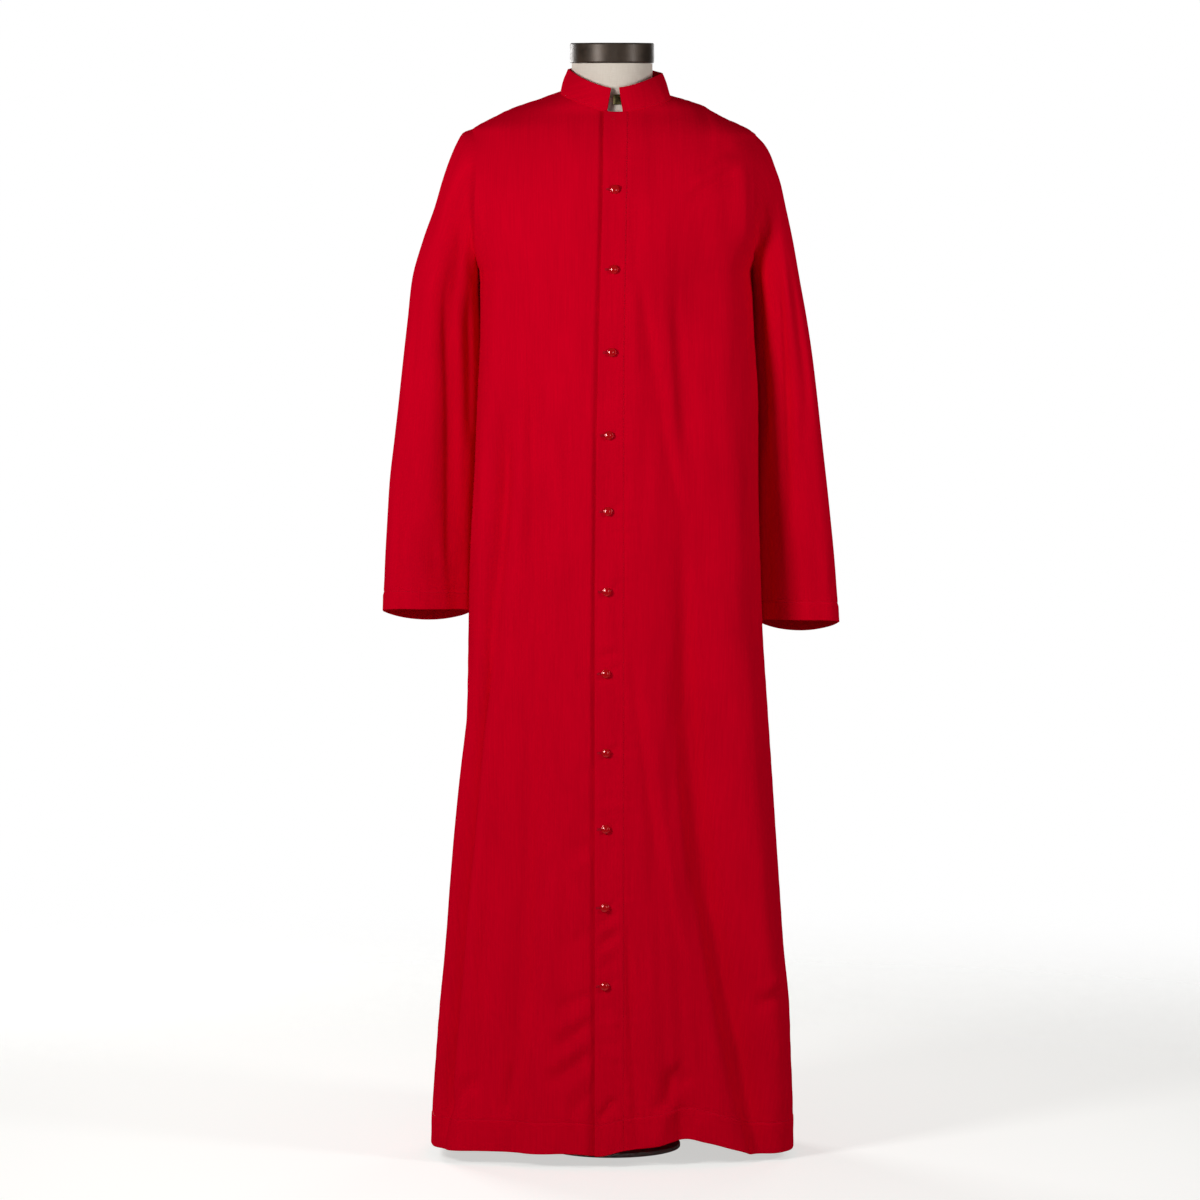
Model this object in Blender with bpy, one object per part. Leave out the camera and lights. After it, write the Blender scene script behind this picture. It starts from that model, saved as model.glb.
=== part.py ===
"""Cassock on a limbless dress form, in metres, +Z up, the front of the garment facing -Y.

The garment's skin is one function, skin(theta, z): rings at height z around the form, theta = 0 at centre
front, +90 degrees at the wearer's left side, 180 at centre back. Every cloth panel is a grid of points on
that skin between its own cut lines, given a wall thickness along the skin's normal.
"""
import math

import bpy
import numpy as np

MM = 0.001

# ---- cloth and seams ------------------------------------------------------------------------------------
CLOTH_WALL = 1.5 * MM
BAND_WALL = 2.0 * MM
COLLAR_WALL = 2.0 * MM
SEAM_HALF_GAP = 0.2 * MM
BAND_LIFT = 2.6 * MM          # the closing edge rides this far above the underlap
BAND_LIFT_FADES_AT = 0.065    # x where the left front is back on the skin
UNDERLAP_SHORT_OF_STITCH = 7.0 * MM

# ---- heights --------------------------------------------------------------------------------------------
UNDERARM_Z = 1.215
SHOULDER_TIP_Z = {-1: 1.410, 1: 1.401}
NECK_SIDE_Z = {-1: 1.4617, 1: 1.4563}
NECK_FRONT_Z = 1.4318
NECK_BACK_Z = 1.470
NECK_DROP_POWER = {-1: 1.3, 1: 2.2}

# ---- grid counts ----------------------------------------------------------------------------------------
SKIRT_ROWS = 15
YOKE_ROWS = 9
FRONT_COLUMNS = 15
BACK_COLUMNS = 28
BAND_COLUMNS = 3

# Rings of the skin: z, half width on the wearer's right, half width on the wearer's left, front y, back y,
# y of the widest point, power of the outline (2 is an ellipse, more is squarer)
RINGS = np.array([
    (0.000, 0.2490, 0.2493, -0.171, 0.195, -0.060, 2.30),
    (0.064, 0.2473, 0.2490, -0.169, 0.192, -0.059, 2.30),
    (0.149, 0.2416, 0.2459, -0.166, 0.187, -0.057, 2.30),
    (0.205, 0.2373, 0.2440, -0.164, 0.183, -0.056, 2.30),
    (0.289, 0.2288, 0.2359, -0.161, 0.177, -0.055, 2.30),
    (0.373, 0.2216, 0.2301, -0.158, 0.171, -0.053, 2.30),
    (0.456, 0.2132, 0.2243, -0.155, 0.164, -0.052, 2.30),
    (0.540, 0.2047, 0.2186, -0.152, 0.157, -0.051, 2.32),
    (0.623, 0.1985, 0.2129, -0.150, 0.150, -0.050, 2.35),
    (0.734, 0.1965, 0.2057, -0.147, 0.141, -0.048, 2.35),
    (0.823, 0.1945, 0.2027, -0.146, 0.134, -0.046, 2.38),
    (0.929, 0.1888, 0.2000, -0.143, 0.128, -0.044, 2.40),
    (1.034, 0.1844, 0.1995, -0.140, 0.123, -0.042, 2.40),
    (1.140, 0.1800, 0.1935, -0.137, 0.125, -0.030, 2.40),
    (1.185, 0.1803, 0.1920, -0.135, 0.127, -0.014, 2.40),
    (1.215, 0.1815, 0.1910, -0.134, 0.129, 0.000, 2.40),
    (1.260, 0.1880, 0.1950, -0.132, 0.128, 0.000, 2.40),
    (1.310, 0.1900, 0.1950, -0.127, 0.124, 0.000, 2.40),
    (1.360, 0.1900, 0.1950, -0.115, 0.114, 0.000, 2.38),
    (1.400, 0.1930, 0.1970, -0.099, 0.101, 0.000, 2.32),
    (1.4085, 0.1910, 0.1877, -0.094, 0.098, 0.000, 2.30),
    (1.4167, 0.1838, 0.1712, -0.089, 0.094, 0.000, 2.28),
    (1.4249, 0.1687, 0.1534, -0.083, 0.090, 0.000, 2.24),
    (1.4331, 0.1522, 0.1383, -0.077, 0.086, 0.000, 2.20),
    (1.4413, 0.1303, 0.1240, -0.074, 0.081, 0.000, 2.12),
    (1.4495, 0.1029, 0.1013, -0.071, 0.076, 0.000, 2.05),
    (1.4563, 0.0850, 0.0780, -0.068, 0.072, 0.000, 2.00),
    (1.4617, 0.0700, 0.0730, -0.066, 0.069, 0.000, 2.00),
    (1.4700, 0.0640, 0.0690, -0.064, 0.064, 0.000, 2.00),
    (1.5400, 0.0580, 0.0600, -0.058, 0.058, 0.000, 2.00),
])

# half width of the armhole seam by fraction of its height, wearer's right then left
ARMHOLE = np.array([
    (0.00, 0.1815, 0.1910),
    (0.25, 0.1870, 0.1912),
    (0.50, 0.1865, 0.1920),
    (0.75, 0.1840, 0.1930),
    (1.00, 0.1905, 0.1965),
])
ARMHOLE_DEPTH = {"front": 0.066, "back": 0.066}
ARMHOLE_ROUND = 1.2           # power of the sleeve's ovals and of the armhole's bow (1 is a circle)
JUST_OFF_SEAM = 0.0016        # radians either side of 90 degrees, to read one face of the skin
HEM_MEAN_Z = 0.015
EDGE_SAMPLES = 60

# angle round the garment in degrees, height of the hem edge
HEM = np.array([
    (-180, 0.0140), (-150, 0.0120), (-120, 0.0170), (-90, 0.0170), (-78, 0.0169), (-63, 0.0181),
    (-49, 0.0180), (-31, 0.0193), (-10, 0.0166), (8, 0.0235), (29, 0.0290), (39, 0.0345), (47, 0.0370),
    (55, 0.0310), (63.5, 0.0195), (72, 0.0109), (78, 0.0100), (90, 0.0130), (120, 0.0180), (150, 0.0120),
    (180, 0.0140),
])

# z, x of the closing edge, x of the stitch line where band and left front meet
CLOSING = np.array([
    (0.000, -0.0237, 0.0162),
    (0.760, -0.0237, 0.0162),
    (1.000, -0.0212, 0.0162),
    (1.090, -0.0190, 0.0163),
    (1.236, -0.0150, 0.0185),
    (1.3675, -0.0122, 0.0206),
    (1.4450, -0.0110, 0.0217),
])

# Folds. face, height where it starts, height of full depth, height where it ends, x at top, x at bottom,
# half width at top, half width at bottom, depth at top, depth at bottom (minus goes inwards)
FOLDS = [
    ("front", 1.235, 0.980, 0.000, 0.057, 0.230, 0.020, 0.034, -0.006, -0.013),
    ("front", 1.120, 0.700, 0.000, 0.100, 0.190, 0.030, 0.034, 0.003, 0.007),
    ("front", 0.800, 0.400, 0.000, 0.045, 0.125, 0.020, 0.026, -0.003, -0.006),
    ("front", 1.120, 0.860, 0.000, -0.122, -0.150, 0.022, 0.030, -0.006, -0.009),
    ("front", 0.980, 0.560, 0.000, -0.160, -0.215, 0.018, 0.022, 0.003, 0.005),
    ("front", 0.700, 0.300, 0.000, -0.075, -0.095, 0.030, 0.034, 0.002, 0.006),
    ("back", 1.150, 0.720, 0.000, -0.085, -0.150, 0.026, 0.036, -0.007, -0.016),
    ("back", 1.050, 0.600, 0.000, 0.000, 0.010, 0.026, 0.040, -0.005, -0.015),
    ("back", 1.180, 0.700, 0.000, 0.095, 0.165, 0.026, 0.036, -0.007, -0.017),
    ("back", 0.900, 0.450, 0.000, -0.045, -0.075, 0.024, 0.034, 0.004, 0.010),
    ("back", 0.860, 0.420, 0.000, 0.050, 0.085, 0.024, 0.034, 0.004, 0.011),
]

# Sleeves, one row a ring below the armhole: outer x, outer z, inner x, inner z, half depth, centre y
SLEEVE_ROWS = {
    -1: np.array([
        (0.2030, 1.4050, 0.1935, 1.2120, 0.0660, 0.000),
        (0.2145, 1.3905, 0.1985, 1.2050, 0.0660, 0.000),
        (0.2250, 1.3675, 0.1965, 1.1945, 0.0655, 0.002),
        (0.2346, 1.3401, 0.1910, 1.1810, 0.0650, 0.005),
        (0.2440, 1.3040, 0.1865, 1.1640, 0.0640, 0.007),
        (0.2595, 1.2580, 0.1835, 1.1430, 0.0620, 0.009),
        (0.2750, 1.2031, 0.1825, 1.1160, 0.0600, 0.011),
        (0.2810, 1.1482, 0.1825, 1.0830, 0.0580, 0.012),
        (0.2868, 1.0950, 0.1833, 1.0440, 0.0560, 0.012),
        (0.2931, 1.0382, 0.1850, 1.0000, 0.0535, 0.012),
        (0.2995, 0.9830, 0.1870, 0.9550, 0.0510, 0.012),
        (0.3059, 0.9279, 0.1890, 0.9080, 0.0480, 0.012),
        (0.3095, 0.8730, 0.1915, 0.8600, 0.0450, 0.011),
        (0.3131, 0.8174, 0.1935, 0.8080, 0.0420, 0.010),
        (0.3161, 0.7515, 0.1950, 0.7510, 0.0390, 0.010),
    ]),
    1: np.array([
        (0.2090, 1.3960, 0.2030, 1.2120, 0.0660, 0.000),
        (0.2170, 1.3800, 0.2080, 1.2045, 0.0660, 0.000),
        (0.2240, 1.3580, 0.2065, 1.1945, 0.0655, 0.002),
        (0.2300, 1.3370, 0.2020, 1.1810, 0.0650, 0.005),
        (0.2370, 1.3050, 0.1980, 1.1640, 0.0640, 0.007),
        (0.2470, 1.2580, 0.1960, 1.1430, 0.0625, 0.009),
        (0.2568, 1.2031, 0.1955, 1.1160, 0.0610, 0.011),
        (0.2666, 1.1482, 0.1960, 1.0830, 0.0590, 0.012),
        (0.2750, 1.0930, 0.1985, 1.0440, 0.0570, 0.011),
        (0.2820, 1.0382, 0.1988, 1.0000, 0.0550, 0.012),
        (0.2885, 0.9830, 0.1992, 0.9550, 0.0520, 0.012),
        (0.2948, 0.9279, 0.1998, 0.9080, 0.0490, 0.012),
        (0.3006, 0.8730, 0.2006, 0.8600, 0.0460, 0.011),
        (0.3062, 0.8174, 0.2022, 0.8080, 0.0430, 0.010),
        (0.3120, 0.7380, 0.2042, 0.7375, 0.0395, 0.010),
    ]),
}
CUFF_BACK_DROP = 0.021        # the back of the cuff hangs this much lower than the front
SLEEVE_BLEND = (1.0, 0.72, 0.40, 0.16, 0.0)

# Sleeve creases: angle round the sleeve at top and bottom (0 outer, 90 front, 180 inner), first and last
# ring, half width in degrees, depth
SLEEVE_FOLDS = {
    -1: [(82, 140, 4, 14, 17, -0.0065), (275, 245, 3, 13, 20, -0.006), (40, 52, 7, 15, 16, -0.003)],
    1: [(88, 118, 4, 14, 18, -0.0060), (265, 285, 3, 13, 20, -0.006), (45, 60, 6, 15, 16, -0.003)],
}

# ---- collar ---------------------------------------------------------------------------------------------
COLLAR_LIFT = 1.5 * MM        # clear of the neck edge of the panels
COLLAR_TOP_Z = {"front": 1.4656, "back": 1.5000, -1: 1.4918, 1: 1.4863}
COLLAR_TOP_HALF_WIDTH = {-1: 0.0595, 1: 0.0683}
COLLAR_TOP_DEPTH = {"front": 0.0720, "back": 0.0610}
COLLAR_TOP_POWER = {-1: 1.3, 1: 1.6}
COLLAR_END_X = {-1: (-0.0069, -0.0014), 1: (0.0137, 0.0096)}   # bottom, top
COLLAR_NECK_RADIUS = 0.075    # front radius of the neck seam, turns an end's x into an angle
COLLAR_NORMAL_RISE = 0.3      # the collar is thickened nearly sideways
COLLAR_COLUMNS = 34
COLLAR_ROWS = 3

# ---- buttons and hook -----------------------------------------------------------------------------------
BUTTON_RADIUS = 6.25 * MM
BUTTON_SIDES = 14
# radius as a share of the button's, height above the band
BUTTON_PROFILE = [(0.30, 0.2), (0.30, 1.0), (0.88, 1.2), (1.00, 2.0), (0.80, 3.6), (0.42, 4.5)]
BUTTON_TOP = 4.8 * MM
# x, z of each button
BUTTONS = [
    (0.0036, 1.3272), (0.0023, 1.2210), (-0.0004, 1.1092), (-0.0044, 0.9971), (-0.0057, 0.8941),
    (-0.0071, 0.7856), (-0.0084, 0.6740), (-0.0080, 0.5663), (-0.0084, 0.4625), (-0.0098, 0.3556),
    (-0.0098, 0.2486),
]
HOOK_HEIGHT = 14.0 * MM
HOOK_CENTRE_Z = 1.4500
HOOK_LEAN = 0.25              # follows the slope of the collar's inner face
HOOK_WALL = 1.0 * MM
# centre line of the hook seen from above, x and y: sewn flat behind the left end, its bill turned to the front
HOOK_PATH = [(0.0215, -0.0715), (0.0165, -0.0727), (0.0120, -0.0735), (0.0065, -0.0738), (0.0026, -0.0744),
             (0.0012, -0.0758), (0.0022, -0.0775), (0.0046, -0.0782), (0.0072, -0.0778)]

# ---- dress form -----------------------------------------------------------------------------------------
# z, half width, front depth, back depth, centre y
FORM_TORSO = np.array([
    (0.700, 0.154, 0.104, 0.104, -0.004),
    (0.760, 0.168, 0.113, 0.112, -0.004),
    (0.840, 0.170, 0.114, 0.110, -0.004),
    (0.930, 0.160, 0.110, 0.106, -0.003),
    (1.030, 0.150, 0.106, 0.102, -0.002),
    (1.120, 0.153, 0.112, 0.108, 0.000),
    (1.215, 0.162, 0.122, 0.118, 0.000),
    (1.290, 0.168, 0.122, 0.118, 0.000),
    (1.350, 0.172, 0.111, 0.109, 0.000),
    (1.385, 0.175, 0.098, 0.098, 0.000),
])
# skin height, share of the skin's width, clearance under the skin at the sides, more clearance front and back
FORM_SHOULDER = np.array([
    (1.4000, 0.925, 0.0034, 0.0060),
    (1.4090, 0.955, 0.0034, 0.0060),
    (1.4180, 0.980, 0.0032, 0.0058),
    (1.4270, 0.986, 0.0031, 0.0060),
    (1.4360, 0.982, 0.0031, 0.0080),
    (1.4445, 0.970, 0.0033, 0.0090),
    (1.4520, 0.955, 0.0038, 0.0090),
    (1.4565, 0.930, 0.0045, 0.0090),
])
FORM_NECK = np.array([
    (1.4640, 0.0605, 0.0590, 0.0570, -0.003),
    (1.4720, 0.0562, 0.0565, 0.0550, -0.004),
    (1.4850, 0.0553, 0.0555, 0.0545, -0.004),
    (1.4993, 0.0552, 0.0555, 0.0545, -0.004),
])
FORM_TORSO_POWER = 2.3
FORM_SIDES = 36
CAP_RADIUS = 0.0575
CAP_BOTTOM_Z = 1.4997
CAP_TOP_Z = 1.527
CAP_EDGE = 2.5 * MM
CAP_SIDES = 40
NECK_CENTRE_Y = -0.004
POLE_RADIUS = 15.0 * MM
POLE_SIDES = 24
BASE_RADIUS = 0.095
BASE_THICKNESS = 6.0 * MM
BASE_EDGE = 1.5 * MM
BASE_SIDES = 56
SEAT_GAP = 0.3 * MM           # between the pole and what it carries and stands on

# name, colour (linear), roughness, metallic
RED_CLOTH = ("red_cloth", (0.52, 0.002, 0.014, 1.0), 0.62, 0.0)
RED_BUTTON = ("red_button", (0.45, 0.002, 0.012, 1.0), 0.18, 0.0)
BRASS_HOOK = ("dark_brass", (0.13, 0.075, 0.05, 1.0), 0.42, 1.0)
LINEN = ("linen_cover", (0.58, 0.47, 0.37, 1.0), 0.85, 0.0)
BRONZE_CAP = ("bronze_brown", (0.06, 0.042, 0.035, 1.0), 0.30, 0.2)
WHITE_PAINT = ("white_paint", (0.72, 0.72, 0.70, 1.0), 0.45, 0.0)
STEEL = ("brushed_steel", (0.42, 0.42, 0.42, 1.0), 0.35, 1.0)


# ---- numbers to surfaces --------------------------------------------------------------------------------
def smooth_table(knots, values, where):
    """Monotone cubic through the table: no overshoot between its rows."""
    knots = np.asarray(knots, float)
    values = np.asarray(values, float)
    where = np.clip(np.asarray(where, float), knots[0], knots[-1])
    step = np.diff(knots)
    slope = np.diff(values) / step
    tangent = np.zeros_like(values)
    same_sign = slope[:-1] * slope[1:] > 0
    weight_a = 2 * step[1:] + step[:-1]
    weight_b = step[1:] + 2 * step[:-1]
    safe_a = np.where(same_sign, slope[:-1], 1.0)
    safe_b = np.where(same_sign, slope[1:], 1.0)
    mean = (weight_a + weight_b) / (weight_a / safe_a + weight_b / safe_b)
    tangent[1:-1] = np.where(same_sign, mean, 0.0)
    tangent[0] = slope[0]
    tangent[-1] = slope[-1]
    cell = np.clip(np.searchsorted(knots, where, side="right") - 1, 0, len(step) - 1)
    width = step[cell]
    t = (where - knots[cell]) / width
    low = (2 * t**3 - 3 * t**2 + 1) * values[cell] + (t**3 - 2 * t**2 + t) * width * tangent[cell]
    high = (-2 * t**3 + 3 * t**2) * values[cell + 1] + (t**3 - t**2) * width * tangent[cell + 1]
    return low + high


def ease(t):
    """0 to 1 with level ends."""
    t = np.clip(t, 0.0, 1.0)
    return t * t * (3 - 2 * t)


def power_mean_radius(theta, half_width, depth, power):
    across = (np.abs(np.sin(theta)) / half_width) ** power
    along = (np.abs(np.cos(theta)) / depth) ** power
    return (across + along) ** (-1.0 / power)


def armhole_at(fraction, side, face):
    """x and y of the armhole seam at a fraction of its height."""
    column = 1 if side < 0 else 2
    x = smooth_table(ARMHOLE[:, 0], ARMHOLE[:, column], fraction)
    bow = np.clip(4 * fraction * (1 - fraction), 0, 1) ** (ARMHOLE_ROUND / 2)
    y = ARMHOLE_DEPTH[face] * bow * (-1 if face == "front" else 1)
    return x, y


def ring_sizes(theta, z):
    """Half width, depth, centre y and power of the skin's ring for each point."""
    theta = np.asarray(theta, float)
    z = np.asarray(z, float)
    centre = smooth_table(RINGS[:, 0], RINGS[:, 5], z)
    front = centre - smooth_table(RINGS[:, 0], RINGS[:, 3], z)
    back = smooth_table(RINGS[:, 0], RINGS[:, 4], z) - centre
    power = smooth_table(RINGS[:, 0], RINGS[:, 6], z)
    is_front = np.cos(theta) >= 0
    depth = np.where(is_front, front, back)
    half = np.zeros(np.broadcast(theta, z).shape)
    for side, column in ((-1, 1), (1, 2)):
        plain = smooth_table(RINGS[:, 0], RINGS[:, column], z)
        fraction = np.clip((z - UNDERARM_Z) / (SHOULDER_TIP_Z[side] - UNDERARM_Z), 0, 1)
        inside = (z > UNDERARM_Z) & (z < SHOULDER_TIP_Z[side])
        for face, faces in (("front", is_front), ("back", ~is_front)):
            x, y = armhole_at(fraction, side, face)
            share = np.clip(np.abs(y) / depth, 0, 0.95)
            through = x / (1 - share**power) ** (1 / power)
            chosen = np.where(inside, through, plain)
            on_side = np.sin(theta) >= 0 if side > 0 else np.sin(theta) < 0
            half = np.where(on_side & faces, chosen, half)
    return half, depth, centre, power


def fold_offset(theta, z, half, depth, power):
    """Sum of the folds, each a bell across its width and eased in and out along its length."""
    total = np.zeros(np.shape(z))
    is_front = np.cos(theta) >= 0
    for face, start, full, end, x_top, x_end, w_top, w_end, d_top, d_end in FOLDS:
        down = np.clip((start - z) / (start - end), 0, 1)
        x = x_top + (x_end - x_top) * down
        width = w_top + (w_end - w_top) * down
        height = (d_top + (d_end - d_top) * down) * ease((start - z) / (start - full))
        share = np.clip(np.abs(x) / half, 0, 0.985)
        y = depth * (1 - share**power) ** (1 / power)
        angle = np.arctan2(x, y) if face == "front" else np.pi - np.arctan2(x, y)
        turn = (theta - angle + np.pi) % (2 * np.pi) - np.pi
        across = turn * np.hypot(x, y) / width
        side_fade = ease((np.abs(np.cos(theta))) / 0.30)
        total = total + np.where(is_front == (face == "front"), height * np.exp(-across**2) * side_fade, 0.0)
    return total


def lift_over_underlap(x, z):
    """How far the left front stands off the skin beside the closing edge."""
    stitch = np.interp(z, CLOSING[:, 0], CLOSING[:, 2])
    return BAND_LIFT * (1 - ease((x - stitch) / (BAND_LIFT_FADES_AT - stitch)))


def skin(theta, z, with_folds=True, lifted=False):
    """Point of the garment's middle surface at angle theta and height z."""
    theta = np.asarray(theta, float)
    z = np.asarray(z, float)
    half, depth, centre, power = ring_sizes(theta, z)
    radius = power_mean_radius(theta, half, depth, power)
    if with_folds:
        radius = radius + fold_offset(theta, z, half, depth, power)
    point = np.stack([radius * np.sin(theta), centre - radius * np.cos(theta), z + 0 * theta], axis=-1)
    if lifted:
        point = point + lift_over_underlap(point[..., 0], z)[..., None] * skin_normal(theta, z)
    return point


def skin_normal(theta, z, lifted=False):
    step = 2e-4
    around = skin(theta + step, z, lifted=lifted) - skin(theta - step, z, lifted=lifted)
    upward = skin(theta, z + step, lifted=lifted) - skin(theta, z - step, lifted=lifted)
    normal = np.cross(around, upward)
    return normal / np.linalg.norm(normal, axis=-1, keepdims=True)


def angle_at_x(x, z):
    """Angle on the front whose skin point has this x."""
    guess = np.where(np.asarray(x) >= 0, 0.3, -0.3) + 0 * np.asarray(z, float)
    half, depth, centre, power = ring_sizes(guess, z)
    y = depth * (1 - (np.abs(x) / half) ** power) ** (1 / power)
    return np.arctan2(x, y)


def theta_of(turn, side, face):
    """Angle round the garment for a turn from the centre line of one face towards one side."""
    return side * turn if face == "front" else side * (math.pi - turn)


def arc_table(side, face, z, samples=240):
    """Turns from just past the centre line out to the side, and the arc length at each, for one ring."""
    turn = np.linspace(-0.35, math.pi / 2, samples)
    points = skin(theta_of(turn, side, face), np.full(samples, z), with_folds=False)
    length = np.concatenate([[0.0], np.cumsum(np.linalg.norm(np.diff(points, axis=0), axis=1))])
    return turn, length - np.interp(0.0, turn, length)


def turn_to_arc(side, face, turn, z):
    turns, lengths = arc_table(side, face, z)
    return float(np.interp(turn, turns, lengths))


def arc_to_turn(side, face, arc, z):
    turns, lengths = arc_table(side, face, z)
    return float(np.interp(arc, lengths, turns))


def neck_z(theta):
    """Height of the neck seam round the garment."""
    theta = np.asarray(theta, float)
    side_z = np.where(np.sin(theta) >= 0, NECK_SIDE_Z[1], NECK_SIDE_Z[-1])
    power = np.where(np.sin(theta) >= 0, NECK_DROP_POWER[1], NECK_DROP_POWER[-1])
    rise = np.abs(np.sin(theta))
    front = NECK_FRONT_Z + (side_z - NECK_FRONT_Z) * rise**power
    back = NECK_BACK_Z + (side_z - NECK_BACK_Z) * rise**2
    return np.where(np.cos(theta) >= 0, front, back)


def hem_z(theta):
    return smooth_table(HEM[:, 0], HEM[:, 1], np.degrees((theta + np.pi) % (2 * np.pi) - np.pi))


# ---- panels as grids of (turn, z) on the skin -----------------------------------------------------------
def rows_of_skirt():
    return np.linspace(0, 1, SKIRT_ROWS + 1)


def seam_turn(z, side, face):
    """The side seam and the shoulder seam lie at 90 degrees, less half the seam gap."""
    theta = theta_of(math.pi / 2 - JUST_OFF_SEAM, side, face)
    point = skin(np.array([theta]), np.array([z]), with_folds=False)[0]
    return math.pi / 2 - SEAM_HALF_GAP / abs(point[0])


def yoke_patch(side, face, columns, centre_turn):
    """Coons patch in arc length and height between underarm line, armhole, shoulder and neck, centre line."""
    tip = SHOULDER_TIP_Z[side]
    tau = np.linspace(0, 1, YOKE_ROWS + 1)
    fraction = (1 - np.cos(np.pi * tau)) / 2
    arm_z = UNDERARM_Z + fraction * (tip - UNDERARM_Z)
    arm_arc = np.zeros_like(tau)
    for i, f in enumerate(fraction):
        x, y = armhole_at(f, side, face)
        arm_arc[i] = turn_to_arc(side, face, math.atan2(float(x), abs(float(y))), arm_z[i])
    first_arc = turn_to_arc(side, face, centre_turn(UNDERARM_Z), UNDERARM_Z)
    low_arc = np.linspace(first_arc, arm_arc[0], columns + 1)
    low_z = np.full(columns + 1, UNDERARM_Z)
    # neck edge from the centre line to the neck point, then the shoulder seam down to the tip
    start = centre_turn(NECK_FRONT_Z if face == "front" else NECK_BACK_Z)
    neck_turns = np.linspace(start, math.pi / 2, EDGE_SAMPLES)
    neck_zs = neck_z(theta_of(neck_turns, side, face))
    neck_arcs = [turn_to_arc(side, face, t, z) for t, z in zip(neck_turns, neck_zs)]
    shoulder_zs = np.linspace(NECK_SIDE_Z[side], tip, EDGE_SAMPLES)[1:]
    shoulder_arcs = [turn_to_arc(side, face, math.pi / 2, z) for z in shoulder_zs]
    top_z = np.concatenate([neck_zs, shoulder_zs])
    top_turn = np.concatenate([neck_turns, np.full(EDGE_SAMPLES - 1, math.pi / 2)])
    top_point = skin(theta_of(top_turn, side, face), top_z, with_folds=False)
    run = np.concatenate([[0.0], np.cumsum(np.linalg.norm(np.diff(top_point, axis=0), axis=1))])
    neck_run = run[EDGE_SAMPLES - 1]
    neck_share = neck_run / run[-1]
    neck_columns = max(3, round(columns * neck_share))
    picks = np.concatenate([
        np.linspace(0, neck_run, neck_columns + 1),
        np.linspace(neck_run, run[-1], columns - neck_columns + 1)[1:],
    ])
    top_arc = np.interp(picks, run, np.concatenate([neck_arcs, shoulder_arcs]))
    top_z = np.interp(picks, run, top_z)
    centre_z = UNDERARM_Z + tau * (top_z[0] - UNDERARM_Z)
    centre_arc = np.array([turn_to_arc(side, face, centre_turn(z), z) for z in centre_z])
    centre_arc[-1] = top_arc[0]
    u = np.linspace(0, 1, columns + 1)[None, :]
    v = tau[:, None]

    def coons(low, top, first, last):
        edges = (1 - v) * low[None, :] + v * top[None, :] + (1 - u) * first[:, None] + u * last[:, None]
        corners = (1 - u) * (1 - v) * low[0] + u * (1 - v) * low[-1] + (1 - u) * v * top[0] + u * v * top[-1]
        return edges - corners

    arc = coons(low_arc, top_arc, centre_arc, arm_arc)
    height = coons(low_z, top_z, centre_z, arm_z)
    turn = np.zeros_like(arc)
    for i in range(arc.shape[0]):
        for j in range(arc.shape[1]):
            turn[i, j] = arc_to_turn(side, face, arc[i, j], height[i, j])
    for j in range(neck_columns, columns + 1):
        turn[-1, j] = min(turn[-1, j], seam_turn(height[-1, j], side, face))
    for i in range(YOKE_ROWS + 1):
        x, y = armhole_at(fraction[i], side, face)
        turn[i, -1] = min(math.atan2(float(x), abs(float(y))), seam_turn(arm_z[i], side, face))
        height[i, -1] = arm_z[i]
    return turn, height


def half_panel(side, face, columns, centre_turn):
    """Turn and height grids from the hem up to the neck, columns from the centre line to the side."""
    turn_up, z_up = yoke_patch(side, face, columns, centre_turn)
    lengths = [turn_to_arc(side, face, t, UNDERARM_Z) for t in turn_up[0]]
    share = (np.array(lengths) - lengths[0]) / (lengths[-1] - lengths[0])
    turns, heights = [], []
    for w in rows_of_skirt()[:-1]:
        z_mean = HEM_MEAN_Z + w * (UNDERARM_Z - HEM_MEAN_Z)
        first = turn_to_arc(side, face, centre_turn(z_mean), z_mean)
        last = turn_to_arc(side, face, seam_turn(z_mean, side, face), z_mean)
        row = np.array([arc_to_turn(side, face, first + s * (last - first), z_mean) for s in share])
        hem = hem_z(theta_of(row, side, face))
        turns.append(row)
        heights.append(hem + w * (UNDERARM_Z - hem))
    return np.vstack([np.array(turns), turn_up]), np.vstack([np.array(heights), z_up])


# ---- meshes ---------------------------------------------------------------------------------------------
def new_material(spec):
    name, colour, roughness, metallic = spec
    found = bpy.data.materials.get(name)
    if found:
        return found
    material = bpy.data.materials.new(name)
    material.use_nodes = True
    shader = material.node_tree.nodes["Principled BSDF"]
    shader.inputs["Base Color"].default_value = colour
    shader.inputs["Roughness"].default_value = roughness
    shader.inputs["Metallic"].default_value = metallic
    material.diffuse_color = colour
    return material


def new_object(name, vertices, faces, spec, smooth=True):
    mesh = bpy.data.meshes.new(name)
    mesh.from_pydata([tuple(map(float, v)) for v in vertices], [], [tuple(map(int, f)) for f in faces])
    mesh.update()
    mesh.polygons.foreach_set("use_smooth", [smooth] * len(mesh.polygons))
    mesh.materials.append(new_material(spec))
    body = bpy.data.objects.new(name, mesh)
    bpy.context.scene.collection.objects.link(body)
    return body


def split_quad(a, b, c, d, points):
    """Two triangles across the shorter diagonal, by the middle surface, so both walls split alike."""
    if np.linalg.norm(points[a] - points[c]) <= np.linalg.norm(points[b] - points[d]):
        return [(a, b, c), (a, c, d)]
    return [(a, b, d), (b, c, d)]


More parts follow.
